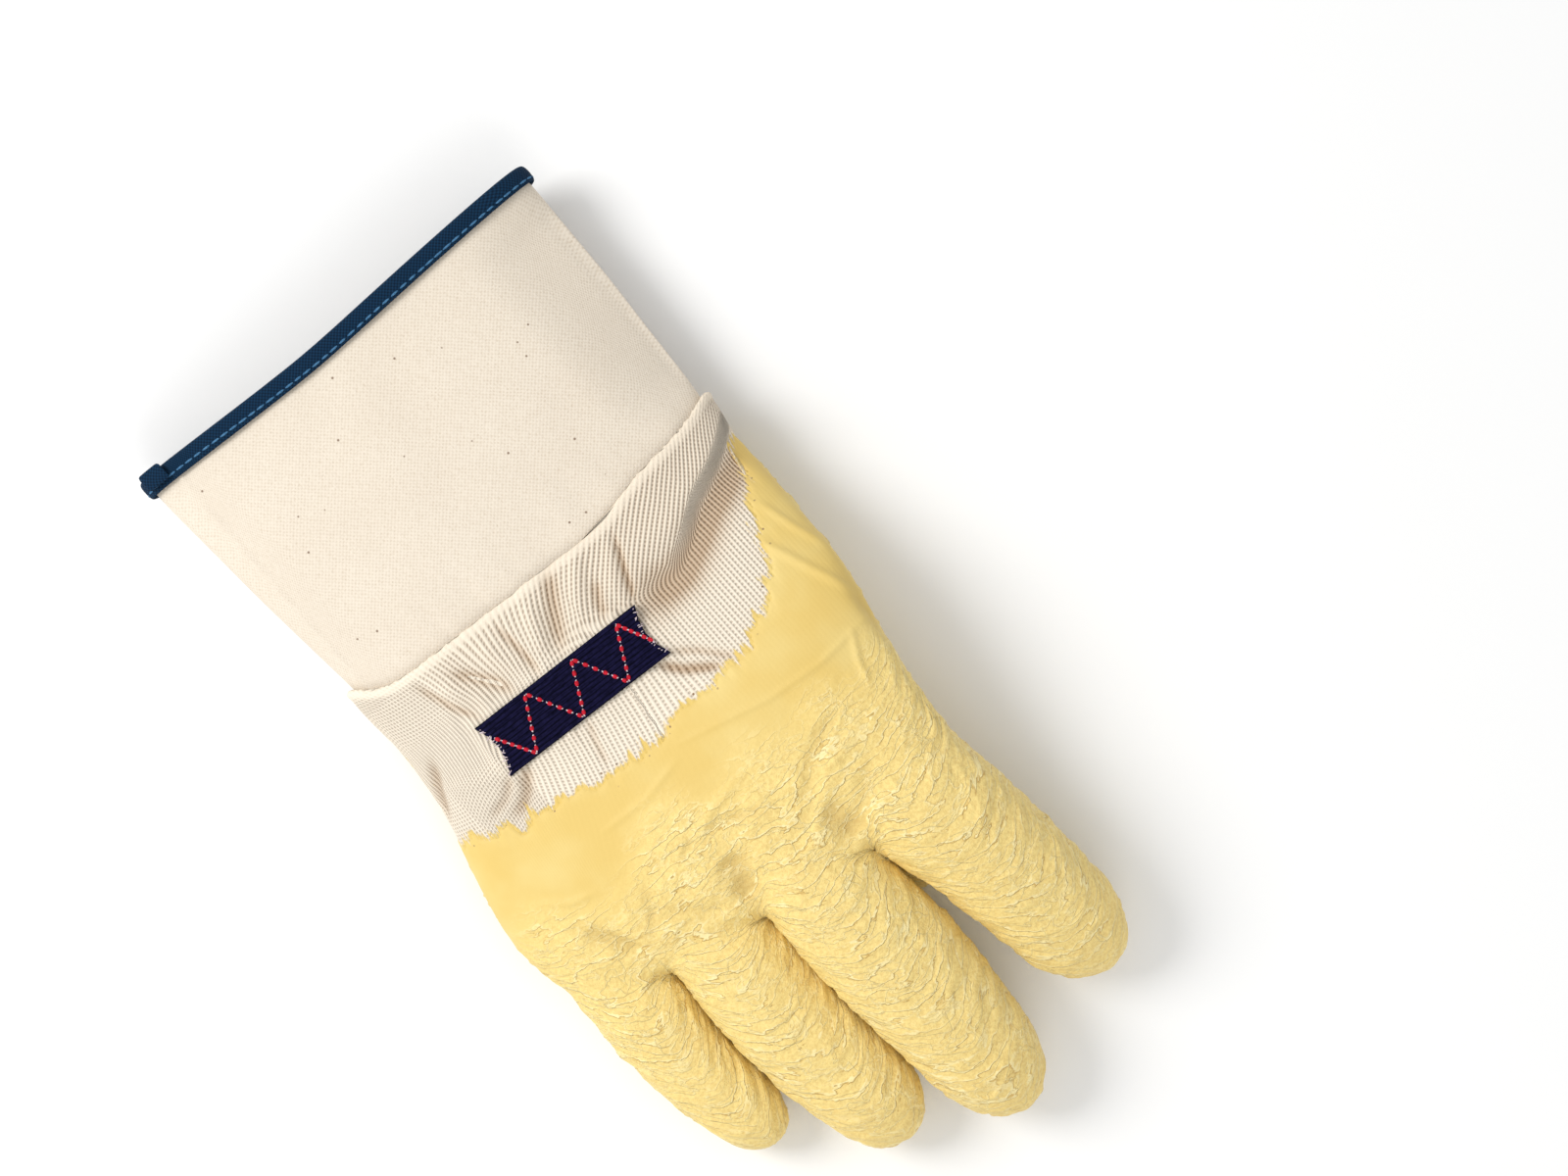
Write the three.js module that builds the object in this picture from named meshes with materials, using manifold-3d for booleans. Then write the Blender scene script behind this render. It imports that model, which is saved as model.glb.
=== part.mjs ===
// Latex coated work glove for the right hand, lying on its palm with the thumb folded under it.
// Millimetres. +Y runs to the fingertips, +X to the little finger, +Z up from the table.
// Every piece is a wall grown inwards from one outer form, so pieces that lie on each other
// share their rows and keep one clearance.
import * as THREE from 'three';
import { ParametricGeometry } from 'three/addons/geometries/ParametricGeometry.js';
import { mergeVertices } from 'three/addons/utils/BufferGeometryUtils.js';
import Module from 'manifold-3d';

const wasm = await Module();
wasm.setup();

// Cuff
const CUFF_LENGTH = 80;        // bound edge to the knit's seam
const CUFF_WIDTH = 132.6;      // across the bound opening
const CUFF_HEIGHT = 30;        // of the opening as it lies
const CANVAS_WALL = 2;
const CANVAS_TUCK = 8;         // canvas that runs on under the knit
const EDGE_SLANT = 6;          // the bound edge falls back at the little finger
const TAPE_WIDTH = 5.5;
const TAPE_THICKNESS = 1.2;
const TAPE_END_LENGTH = 7;     // turned end of the tape, at the little finger

// Hand
const PALM_LENGTH = 105;       // knit's seam to the roots of the fingers
const PALM_WIDTH = 126;
const PALM_THICKNESS = 25;
const HAND_WALL = 2;           // jersey with its coat
const COAT_FILM = 1.2;         // coat that runs over the canvas under the wrist
const COAT_REACH = 37;         // how far that coat runs past the seam
const ROOT_SLANT = 0.18;       // the finger roots lie further back towards the little finger
const ROOT_OVERRUN = 3;        // the web between index and middle lies past the root line
const FINGER_BURIED = 35;      // each finger starts this far inside the palm

// Fingers
const INDEX_LENGTH = 72;
const MIDDLE_LENGTH = 84.5;
const RING_LENGTH = 70;
const LITTLE_LENGTH = 56;
const LITTLE_BACK = 8;         // the little finger's root lies this far behind the others
const FINGER_WIDTH = 33.8;     // middle finger at its widest
const FINGER_THICKNESS = 25;   // middle finger at its root

// Elastic band across the back of the wrist
const BAND_LENGTH = 52;
const BAND_WIDTH = 15.3;
const BAND_THICKNESS = 1.3;
const BAND_NOTCH = 2.2;        // its cut ends are drawn in at the middle
const BAND_TILT = -4.5;        // degrees, down towards the little finger
const BAND_CENTRE = { x: 16, fromSeam: 30 };

// Fits
const CLEARANCE = 0.3;         // between pieces that lie on each other
const THUMB_GAP = 2.8;         // air between the folded thumb and the palm above it

const THUMB = { length: 115, start: 0.14, thickness: 17 };
const LIFT = THUMB.thickness + THUMB_GAP;

// Outer form of the cuff: at is a share of its length, left and right of half its width,
// and the heights of its side lines and its bulge above and below them of its height.
const CUFF_ROWS = [
  { at: -0.16, left: -1, right: 1, leftLine: 0.54, rightLine: 0.36, up: 0.5, down: 0.5 },
  { at: 0, left: -0.993, right: 0.995, leftLine: 0.54, rightLine: 0.36, up: 0.5, down: 0.5 },
  { at: 0.375, left: -0.973, right: 0.973, leftLine: 0.55, rightLine: 0.4, up: 0.5, down: 0.5 },
  { at: 0.65, left: -0.956, right: 0.95, leftLine: 0.56, rightLine: 0.43, up: 0.51, down: 0.51 },
  { at: 0.9, left: -0.938, right: 0.93, leftLine: 0.57, rightLine: 0.46, up: 0.52, down: 0.52 },
];

// Outer form of the palm: at is a share of its length past the seam, left and right of half its
// width, lines, bulges and arch of its thickness, rises of the height that the thumb lifts it by.
const PALM_ROWS = [
  { at: 0, left: -0.968, right: 0.981, leftLine: 0.68, leftRise: 0, rightLine: 0.56, rightRise: 0,
    up: 0.63, down: 0.63, arch: 0, slant: 0 },
  { at: 0.095, left: -0.936, right: 0.97, leftLine: 0.64, leftRise: 0.14, rightLine: 0.55, rightRise: 0,
    up: 0.6, down: 0.6, arch: 0, slant: 0 },
  { at: 0.19, left: -0.929, right: 0.984, leftLine: 0.6, leftRise: 0.35, rightLine: 0.54, rightRise: 0,
    up: 0.58, down: 0.54, arch: 0, slant: 0 },
  { at: 0.286, left: -0.929, right: 1.008, leftLine: 0.54, leftRise: 0.6, rightLine: 0.52, rightRise: 0.02,
    up: 0.56, down: 0.46, arch: 0, slant: 0 },
  { at: 0.381, left: -0.921, right: 1.048, leftLine: 0.51, leftRise: 0.82, rightLine: 0.5, rightRise: 0.03,
    up: 0.54, down: 0.41, arch: 0, slant: 0 },
  { at: 0.476, left: -0.913, right: 1.095, leftLine: 0.5, leftRise: 0.98, rightLine: 0.48, rightRise: 0.04,
    up: 0.53, down: 0.38, arch: 0.01, slant: 0 },
  { at: 0.571, left: -0.886, right: 1.138, leftLine: 0.5, leftRise: 1.08, rightLine: 0.46, rightRise: 0.04,
    up: 0.51, down: 0.36, arch: 0.05, slant: 0 },
  { at: 0.667, left: -0.84, right: 1.157, leftLine: 0.5, leftRise: 1.12, rightLine: 0.45, rightRise: 0.04,
    up: 0.49, down: 0.36, arch: 0.1, slant: 0.15 },
  { at: 0.81, left: -0.787, right: 1.15, leftLine: 0.5, leftRise: 1.12, rightLine: 0.44, rightRise: 0.04,
    up: 0.46, down: 0.35, arch: 0.13, slant: 0.5 },
  { at: 0.924, left: -0.76, right: 1.12, leftLine: 0.5, leftRise: 1.1, rightLine: 0.43, rightRise: 0.03,
    up: 0.43, down: 0.33, arch: 0.13, slant: 0.85 },
  { at: 1, left: -0.7, right: 1.05, leftLine: 0.5, leftRise: 1.05, rightLine: 0.42, rightRise: 0.03,
    up: 0.38, down: 0.28, arch: 0.12, slant: 1 },
];

// Fingers. root, middle and tip give the centre as shares of half the palm's width, and the width
// and thickness as shares of FINGER_WIDTH and FINGER_THICKNESS. Rises are shares of the thumb's lift,
// cap is the rounded end as a share of the finger's length.
const FINGERS = [
  { name: 'index', length: INDEX_LENGTH, back: 0,
    rootX: -0.495, middleX: -0.57, tipX: -0.615, rootWidth: 1.053, middleWidth: 0.941, tipWidth: 0.876,
    rootThick: 0.96, middleThick: 0.9, tipThick: 0.8, rootRise: 0.98, tipRise: 0.08, cap: 0.278 },
  { name: 'middle', length: MIDDLE_LENGTH, back: 0,
    rootX: 0.034, middleX: 0.012, tipX: 0.019, rootWidth: 0.929, middleWidth: 1, tipWidth: 0.888,
    rootThick: 1, middleThick: 0.96, tipThick: 0.84, rootRise: 0.77, tipRise: 0.1, cap: 0.26 },
  { name: 'ring', length: RING_LENGTH, back: 0,
    rootX: 0.5, middleX: 0.51, tipX: 0.47, rootWidth: 0.876, middleWidth: 0.876, tipWidth: 0.799,
    rootThick: 0.94, middleThick: 0.9, tipThick: 0.8, rootRise: 0.31, tipRise: 0.03, cap: 0.271 },
  { name: 'little', length: LITTLE_LENGTH, back: LITTLE_BACK,
    rootX: 0.925, middleX: 0.94, tipX: 0.9, rootWidth: 0.769, middleWidth: 0.686, tipWidth: 0.609,
    rootThick: 0.82, middleThick: 0.8, tipThick: 0.72, rootRise: 0.0, tipRise: 0, cap: 0.268 },
];

// Folded thumb: at is a share of its length, x of half the palm's width, width of its widest, thick
// and rise above the table of its thickness.
const THUMB_WIDTH = 33;
const THUMB_CAP = 19;
const THUMB_ROWS = [
  { at: 0, x: -0.53, width: 0.68, thick: 0.5, rise: 0.6 },
  { at: 0.14, x: -0.57, width: 0.94, thick: 0.85, rise: 0.2 },
  { at: 0.28, x: -0.575, width: 1, thick: 1, rise: 0 },
  { at: 0.46, x: -0.51, width: 0.95, thick: 1, rise: 0 },
  { at: 0.68, x: -0.41, width: 0.89, thick: 0.99, rise: 0 },
  { at: 0.88, x: -0.32, width: 0.83, thick: 0.95, rise: 0 },
  { at: 1, x: -0.286, width: 0.78, thick: 0.9, rise: 0 },
];

// Edge of the coat on the back of the hand, from the thumb's side round to the little finger.
// x is a share of half the palm's width, past of the palm's length beyond the seam.
const COAT_EDGE = [
  { x: -1.1, past: 0.05 }, { x: -0.9, past: 0.1 }, { x: -0.81, past: 0.2 }, { x: -0.71, past: 0.32 },
  { x: -0.62, past: 0.41 }, { x: -0.43, past: 0.465 }, { x: -0.16, past: 0.49 }, { x: 0.19, past: 0.51 },
  { x: 0.48, past: 0.48 }, { x: 0.72, past: 0.44 }, { x: 0.9, past: 0.41 }, { x: 1.0, past: 0.36 },
  { x: 1.15, past: 0.27 },
];

// Edge of the coat under the wrist. Where past is below 0 it lies on the canvas and is a share of
// the coat's reach, otherwise of the palm's length.
const PALM_COAT_EDGE = [
  { x: -1.1, past: 0.08 }, { x: -0.92, past: 0.07 }, { x: -0.82, past: -0.05 }, { x: -0.71, past: -0.33 },
  { x: -0.6, past: -0.66 }, { x: -0.47, past: -0.87 }, { x: -0.3, past: -1 }, { x: 0, past: -0.97 },
  { x: 0.3, past: -1 }, { x: 0.5, past: -0.85 }, { x: 0.7, past: -0.5 }, { x: 0.83, past: -0.15 },
  { x: 0.92, past: 0.08 }, { x: 1.0, past: 0.26 }, { x: 1.15, past: 0.27 },
];

// Line of the seam between knit and canvas: x as above, back is in shares of the cuff's length.
const SEAM_LINE = [
  { x: -1.1, back: 0.06 }, { x: -0.95, back: 0.056 }, { x: -0.79, back: 0.019 }, { x: -0.48, back: -0.004 },
  { x: -0.29, back: -0.036 }, { x: 0, back: -0.025 }, { x: 0.48, back: 0.006 }, { x: 0.76, back: 0.03 },
  { x: 0.87, back: 0.068 }, { x: 0.96, back: 0.118 }, { x: 1.1, back: 0.13 },
];

// Gathers that the elastic draws into the knit: ends as x and past like the coat's edge, depth and
// reach in shares of the palm's thickness. A depth below 0 is a ridge.
const GATHERS = [
  { x: -0.2, past: 0.25, toX: -0.86, toPast: 0.1, depth: 0.075, reach: 0.17 },
  { x: -0.34, past: 0.15, toX: -0.88, toPast: 0.04, depth: -0.045, reach: 0.16 },
  { x: 0.12, past: 0.16, toX: 0.04, toPast: 0.05, depth: 0.045, reach: 0.14 },
  { x: 0.48, past: 0.16, toX: 0.66, toPast: 0.06, depth: 0.055, reach: 0.14 },
  { x: 0.64, past: 0.17, toX: 0.76, toPast: 0.02, depth: -0.045, reach: 0.13 },
  { x: -0.1, past: 0.4, toX: -0.2, toPast: 0.47, depth: 0.045, reach: 0.13 },
  { x: 0.68, past: 0.37, toX: 0.78, toPast: 0.45, depth: 0.045, reach: 0.13 },
  { x: 0.98, past: 0.28, toX: 0.86, toPast: 0.17, depth: 0.06, reach: 0.15 },
];

// Facets
const BODY_SIDES = 40;
const LINER_SIDES = 32;
const FINGER_SIDES = 16;
const HOLLOW_SIDES = 12;
const SPREAD = 0.22;           // gives the flat of a wide section more of the points than its sides
const WIDE_POWER = 2.35;       // 2 is an ellipse, more is squarer
const FINGER_POWER = 2.15;

const half = PALM_WIDTH / 2;
const seam = CUFF_LENGTH;
const roots = seam + PALM_LENGTH;

// Smooth curve through a table's rows: gives every other column at any value of the key.
function through(rows, key) {
  const columns = Object.keys(rows[0]).filter((name) => name !== key && name !== 'name');
  const values = rows.flatMap((row) => columns.map((name) => row[name]));
  const curve = new THREE.CubicInterpolant(rows.map((row) => row[key]), values, columns.length);
  return (at) => {
    const found = [...curve.evaluate(at)];
    return Object.fromEntries(columns.map((name, i) => [name, found[i]]));
  };
}

// The whole outer form as sections in millimetres, from the bound edge to the finger roots.
const cuffSections = CUFF_ROWS.map((row) => ({
  y: row.at * CUFF_LENGTH,
  left: (row.left * CUFF_WIDTH) / 2,
  right: (row.right * CUFF_WIDTH) / 2,
  leftZ: row.leftLine * CUFF_HEIGHT,
  rightZ: row.rightLine * CUFF_HEIGHT,
  up: row.up * CUFF_HEIGHT,
  down: row.down * CUFF_HEIGHT,
  arch: 0,
  slant: 0,
}));
const palmSections = PALM_ROWS.map((row) => ({
  y: seam + row.at * PALM_LENGTH,
  left: row.left * half,
  right: row.right * half,
  leftZ: row.leftLine * PALM_THICKNESS + row.leftRise * LIFT,
  rightZ: row.rightLine * PALM_THICKNESS + row.rightRise * LIFT,
  up: row.up * PALM_THICKNESS,
  down: row.down * PALM_THICKNESS,
  arch: row.arch * PALM_THICKNESS,
  slant: row.slant * ROOT_SLANT,
}));
const bodySection = through([...cuffSections, ...palmSections], 'y');

// Thickness of what lies outside the canvas or around the hand's hollow, along the glove.
const wallRows = [
  { y: 0, wall: TAPE_THICKNESS },
  { y: seam - COAT_REACH, wall: COAT_FILM },
  { y: seam, wall: HAND_WALL },
  { y: roots, wall: HAND_WALL },
];
function wallAt(y) {
  const after = wallRows.findIndex((row) => row.y > y);
  if (after === 0) return wallRows[0].wall;
  if (after < 0) return HAND_WALL;
  const [a, b] = [wallRows[after - 1], wallRows[after]];
  return THREE.MathUtils.mapLinear(y, a.y, b.y, a.wall, b.wall);
}

// How far the gathers push the back of the wrist down at a point seen from above. They end before
// the canvas below the knit, and the band lies between them.
const gatherLines = GATHERS.map((row) => ({
  line: new THREE.Line3(
    new THREE.Vector3(row.x * half, seam + row.past * PALM_LENGTH, 0),
    new THREE.Vector3(row.toX * half, seam + row.toPast * PALM_LENGTH, 0),
  ),
  depth: row.depth * PALM_THICKNESS,
  reach: row.reach * PALM_THICKNESS,
}));
const GATHER_FADE = 6;
function gatherDepth(x, y) {
  const spot = new THREE.Vector3(x, y, 0);
  const nearest = new THREE.Vector3();
  const depths = gatherLines.map(({ line, depth, reach }) => {
    line.closestPointToPoint(spot, true, nearest);
    return depth * Math.exp(-((spot.distanceTo(nearest) / reach) ** 2));
  });
  const fadeFrom = seam + CANVAS_TUCK;
  const fade = THREE.MathUtils.smoothstep(y, fadeFrom, fadeFrom + GATHER_FADE);
  return fade * bandClear(x, y) * depths.reduce((sum, depth) => sum + depth, 0);
}

// 0 under the elastic band, 1 a few millimetres away from it.
const BAND_MARGIN = 4;
const bandY = seam + BAND_CENTRE.fromSeam;
const bandTurn = THREE.MathUtils.degToRad(BAND_TILT);
function bandClear(x, y) {
  const along = (x - BAND_CENTRE.x) * Math.cos(bandTurn) + (y - bandY) * Math.sin(bandTurn);
  const across = (y - bandY) * Math.cos(bandTurn) - (x - BAND_CENTRE.x) * Math.sin(bandTurn);
  const away = Math.max(Math.abs(along) - BAND_LENGTH / 2, Math.abs(across) - BAND_WIDTH / 2);
  return THREE.MathUtils.smoothstep(away, 0, BAND_MARGIN);
}

const signedPower = (value, power) => Math.sign(value) * Math.abs(value) ** power;

// Height of the line between a section's two sides, above one place across it.
function lineHeight(section, x) {
  const share = THREE.MathUtils.clamp((x - section.left) / (section.right - section.left), 0, 1);
  const arch = (section.arch ?? 0) * 4 * share * (1 - share);
  return THREE.MathUtils.lerp(section.leftZ, section.rightZ, share) + arch;
}

// One point of a section. turn runs round it once from the little finger's side over the back,
// inset moves it inwards, and nothing lies lower than the inset above the table.
function sectionPoint(section, y, inset, turn, power, dent) {
  const angle = 2 * Math.PI * turn + SPREAD * Math.sin(4 * Math.PI * turn);
  const halfWidth = (section.right - section.left) / 2 - inset;
  const x = (section.left + section.right) / 2 + halfWidth * signedPower(Math.cos(angle), 2 / power);
  const line = lineHeight(section, x);
  const rise = signedPower(Math.sin(angle), 2 / power);
  const bulge = (rise > 0 ? section.up : section.down) - inset;
  const pressed = dent && rise > 0 ? rise * gatherDepth(x, y) : 0;
  const z = Math.max(line + bulge * rise - pressed, inset);
  return new THREE.Vector3(x, y - (section.slant ?? 0) * x, z);
}

// Point of the wrist and palm form.
function bodyPoint(y, inset, turn) {
  return sectionPoint(bodySection(y), y, inset, turn, WIDE_POWER, true);
}

// Height of the outer form's back above a point.
function backHeight(x, y) {
  const section = bodySection(y);
  const halfWidth = (section.right - section.left) / 2;
  const across = Math.min(Math.abs((x - section.left - halfWidth) / halfWidth), 1);
  const rise = (1 - across ** WIDE_POWER) ** (1 / WIDE_POWER);
  return lineHeight(section, x) + section.up * rise;
}

// Closed surface over a list of rings. A ring is a function from turn to a point; a ring that
// gives one point for every turn closes an end, and a last ring equal to the first closes a tube.
function skin(rings, sides) {
  const point = (u, v, target) => {
    const ring = rings[Math.round(v * (rings.length - 1))];
    target.copy(ring((Math.round(u * sides) % sides) / sides));
  };
  return new ParametricGeometry(point, sides, rings.length - 1);
}

// Closed solid of a surface, with its faces pointing out whichever way its rings were listed.
function toSolid(geometry) {
  const bare = geometry.clone();
  bare.deleteAttribute('normal');
  bare.deleteAttribute('uv');
  const merged = mergeVertices(bare);
  const index = merged.index.array;
  const corner = (i) => new THREE.Vector3().fromBufferAttribute(merged.attributes.position, i);
  const kept = [];
  let volume = 0;
  for (let i = 0; i < index.length; i += 3) {
    const [a, b, c] = [index[i], index[i + 1], index[i + 2]];
    if (a === b || b === c || c === a) continue;
    kept.push(a, b, c);
    volume += corner(a).dot(corner(b).cross(corner(c)));
  }
  if (volume < 0) kept.reverse();
  const vertProperties = new Float32Array(merged.attributes.position.array);
  return new wasm.Manifold(new wasm.Mesh({ numProp: 3, vertProperties, triVerts: new Uint32Array(kept) }));
}

function toMesh(name, solid, colour, roughness) {
  const { vertProperties, triVerts } = solid.getMesh();
  const geometry = new THREE.BufferGeometry();
  geometry.setAttribute('position', new THREE.BufferAttribute(new Float32Array(vertProperties), 3));
  geometry.setIndex(new THREE.BufferAttribute(new Uint32Array(triVerts), 1));
  geometry.computeVertexNormals();
  const material = new THREE.MeshStandardMaterial({ color: colour, roughness, metalness: 0 });
  const mesh = new THREE.Mesh(geometry, material);
  mesh.name = name;
  return mesh;
}

// Even steps from one length to another, both ends in.
function steps(from, to, count) {
  return Array.from({ length: count + 1 }, (_, i) => from + ((to - from) * i) / count);
}

// Centre of a ring, used to close an end.
function centreOf(ring, sides) {
  const sum = new THREE.Vector3();
  for (let i = 0; i < sides; i += 1) sum.add(ring(i / sides));
  const middle = sum.divideScalar(sides);
  return () => middle;
}

function loft(rings, sides) {
  const closed = [centreOf(rings[0], sides), ...rings, centreOf(rings.at(-1), sides)];
  return toSolid(skin(closed, sides));
}

// The palm's form from under the cuff to the finger roots. Its rows lie closest where the knit is
// gathered, and the webs between the fingers are rounded off past the roots.
const WEB_ROUND = [0.5, 0.9];
const GATHERED_TO = 0.52;
const KNUCKLES_FROM = 0.6;
const CUFF_RINGS = 4;
const GATHERED_RINGS = 12;
const KNUCKLE_RINGS = 5;
function palmForm(hollow) {
  const from = seam - COAT_REACH - (hollow ? 2 * HAND_WALL : HAND_WALL);
  const underCuff = steps(from, seam - CLEARANCE, CUFF_RINGS);
  const gathered = steps(seam, seam + PALM_LENGTH * GATHERED_TO, GATHERED_RINGS);
  const ahead = steps(seam + PALM_LENGTH * KNUCKLES_FROM, roots, KNUCKLE_RINGS);
  const insetAt = (y) => (hollow ? wallAt(y) : 0);
  const rings = [...underCuff, ...gathered, ...ahead].map((y) => (turn) => bodyPoint(y, insetAt(y), turn));
  const end = bodySection(roots);
  for (const share of hollow ? [] : WEB_ROUND) {
    const left = Math.sqrt(1 - share * share);
    const closing = { ...end, up: end.up * left, down: end.down * left };
    rings.push((turn) => sectionPoint(closing, roots + ROOT_OVERRUN * share, 0, turn, WIDE_POWER, false));
  }
  return loft(rings, hollow ? LINER_SIDES : BODY_SIDES);
}

// Sections of a finger: along is millimetres past its root, below 0 inside the palm.
const FALL_POWER = 1.7;
const BURIED_WIDTH = 0.62;
const BURIED_THICK = 0.5;
const MIDDLE_AT = 0.42;
const TIP_AT = 0.76;
const TIP_LEAN = 0.7;
const END_SHARE = 0.95;
function fingerSection(finger) {
  const { length, rootX, middleX, tipX } = finger;
  const row = (at, x, width, thick) => (
    { at, x: x * half, width: width * FINGER_WIDTH, thick: thick * FINGER_THICKNESS }
  );
  const widths = through([
    row(-FINGER_BURIED, rootX, finger.rootWidth * BURIED_WIDTH, finger.rootThick * BURIED_THICK),
    row(0, rootX, finger.rootWidth, finger.rootThick),
    row(length * MIDDLE_AT, middleX, finger.middleWidth, finger.middleThick),
    row(length * TIP_AT, THREE.MathUtils.lerp(middleX, tipX, TIP_LEAN), finger.tipWidth, finger.tipThick),
    row(length, tipX, finger.tipWidth * END_SHARE, finger.tipThick * END_SHARE),
  ], 'at');
  return (along) => {
    const { x, width, thick } = widths(along);
    const y = roots - finger.back + along;
    const share = Math.max(along / length, 0);
    const rise = THREE.MathUtils.lerp(finger.rootRise, finger.tipRise, share ** FALL_POWER);
    const own = thick / 2 + rise * LIFT;
    const inside = THREE.MathUtils.smoothstep(-along, 0, FINGER_BURIED);
    return { x, y, width, thick, line: THREE.MathUtils.lerp(own, palmMiddle(x, y), inside) };
  };
}

// Height halfway through the palm at a point seen from above.
function palmMiddle(x, y) {
  const section = bodySection(Math.min(y, roots));
  return lineHeight(section, x) + (section.up - section.down) / 2;
}

function thumbSection() {
  const rows = through(THUMB_ROWS, 'at');
  return (along) => {
    const { x, width, thick, rise } = rows(along / THUMB.length);
    const y = seam + THUMB.start * PALM_LENGTH + along;
    const thickness = thick * THUMB.thickness;
    const line = thickness / 2 + rise * THUMB.thickness;
    return { x: x * half, y, width: width * THUMB_WIDTH, thick: thickness, line };
  };
}

// A finger's form with a rounded tip, grown inwards by inset.
const FINGER_RINGS = 7;
const CAP_ROUND = [0.3, 0.58, 0.8, 0.94];
function fingerForm(sectionAt, from, length, cap, inset, sides) {
  const straight = steps(from, length - cap, FINGER_RINGS).map((along) => ({ along, left: 1 }));
  const round = CAP_ROUND.map((share) => ({
    along: length - cap + share * (cap - inset),
    left: Math.sqrt(1 - share * share),
  }));
  const rings = [...straight, ...round].map(({ along, left }) => {
    const { x, y, width, thick, line } = sectionAt(along);
    const reach = (width / 2 - inset) * left + inset;
    const bulge = (thick / 2 - inset) * left + inset;
    const section = { left: x - reach, right: x + reach, leftZ: line, rightZ: line, up: bulge, down: bulge };
    return (turn) => sectionPoint(section, y, inset, turn, FINGER_POWER, false);
  });
  const tip = sectionAt(length - inset);
  const start = centreOf(rings[0], sides);
  return toSolid(skin([start, ...rings, () => new THREE.Vector3(tip.x, tip.y, tip.line)], sides));
}

function handForm(hollow) {
  const inset = hollow ? HAND_WALL : 0;
  const sides = hollow ? HOLLOW_SIDES : FINGER_SIDES;
  const from = -FINGER_BURIED + inset;
  let form = palmForm(hollow);
  for (const finger of FINGERS) {
    const cap = finger.cap * finger.length;
    form = form.add(fingerForm(fingerSection(finger), from, finger.length, cap, inset, sides));
  }
  return form.add(fingerForm(thumbSection(), inset, THUMB.length, THUMB_CAP, inset, sides));
}

// Upright block over an outline in plan.
function prism(points, low, high) {
  const shape = new THREE.Shape(points);
  const block = new THREE.ExtrudeGeometry(shape, { depth: high - low, bevelEnabled: false });
  return toSolid(block.translate(0, 0, low));
}

const SEAM_POINTS = 28;
const EDGE_POINTS = 44;
function coatPlace({ x, past }) {
  return new THREE.Vector2(x * half, seam + past * (past < 0 ? COAT_REACH : PALM_LENGTH));
}
function seamPlace({ x, back }) {
  return new THREE.Vector2(x * half, seam - back * CUFF_LENGTH);
}
const coatEdge = new THREE.SplineCurve(COAT_EDGE.map(coatPlace));
const palmCoatEdge = new THREE.SplineCurve(PALM_COAT_EDGE.map(coatPlace));
const seamLine = new THREE.SplineCurve(SEAM_LINE.map(seamPlace));

// Points of an edge, moved square to it by gap towards the fingers.
function edgePoints(curve, count, gap) {
  return steps(0, 1, count).map((share) => {
    const along = curve.getTangent(share);
    return curve.getPoint(share).add(new THREE.Vector2(-along.y, along.x).multiplyScalar(gap));
  });
}

// Reach of the cutting blocks, past every piece of the glove.
const wristTop = PALM_THICKNESS + LIFT + CUFF_HEIGHT;
const below = -HAND_WALL;
const outside = 0.6 * Math.max(CUFF_WIDTH, PALM_WIDTH);
const coatBack = seam - COAT_REACH - 4 * HAND_WALL;

// Everything above the side lines of the wrist and palm, or below them, moved down by gap.
const PARTING_STEPS = 16;
function sideHalf(upper, gap) {
  const far = upper ? wristTop : below;
  const reach = outside + HAND_WALL;
  const rings = steps(coatBack, roots, PARTING_STEPS).map((y) => {
    const { left, right, leftZ, rightZ } = bodySection(y);
    const line = (x) => THREE.MathUtils.mapLinear(x, left, right, leftZ, rightZ) - gap;
    const corners = [
      new THREE.Vector3(-reach, y, line(-reach)),
      new THREE.Vector3(reach, y, line(reach)),
      new THREE.Vector3(reach, y, far),
      new THREE.Vector3(-reach, y, far),
    ];
    return (turn) => corners[Math.round(turn * corners.length) % corners.length];
  });
  return loft(rings, 4);
}

// Everything between an edge that runs across the glove and a line square across it at y.
function upTo(edge, y) {
  const corners = [
    new THREE.Vector2(outside, edge.at(-1).y),
    new THREE.Vector2(outside, y),
    new THREE.Vector2(-outside, y),
    new THREE.Vector2(-outside, edge[0].y),
  ];
  return prism([...edge, ...corners], below, wristTop);
}

// Everything on the cuff's side of a coat edge, and on the fingers' side of the seam.
const behind = (curve, gap) => upTo(edgePoints(curve, EDGE_POINTS, gap), coatBack);
const pastSeam = () => upTo(edgePoints(seamLine, SEAM_POINTS, 0), roots);

const hand = handForm(false).subtract(handForm(true));
const latexShell = hand
  .subtract(behind(coatEdge, CLEARANCE).intersect(sideHalf(true, CLEARANCE)))
  .subtract(behind(palmCoatEdge, CLEARANCE).intersect(sideHalf(false, 0)));
const knitReach = behind(coatEdge, 0).intersect(sideHalf(true, 0))
  .add(behind(palmCoatEdge, 0).intersect(sideHalf(false, -CLEARANCE / 2)));
const knitBack = hand.intersect(knitReach.intersect(pastSeam()));

// The bound edge falls back towards the little finger, and the rows behind it follow less and less.
const SLANT_FROM = 0.08;
const SLANT_POWER = 1.3;
const SLANT_FADE = 0.7;
function edgeY(x) {
  const share = THREE.MathUtils.clamp((x / (CUFF_WIDTH / 2) - SLANT_FROM) / (1 - SLANT_FROM), 0, 1);
  return -EDGE_SLANT * share ** SLANT_POWER;
}

// Ring of the cuff: fromEdge is millimetres from the tape's outermost line.
function cuffRing(fromEdge, inset) {
  return (turn) => {
    const flat = bodyPoint(fromEdge, inset, turn);
    const follow = 1 - THREE.MathUtils.smoothstep(fromEdge, 0, CUFF_LENGTH * SLANT_FADE);
    flat.y += edgeY(flat.x) * follow;
    return flat;
  };
}

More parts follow.
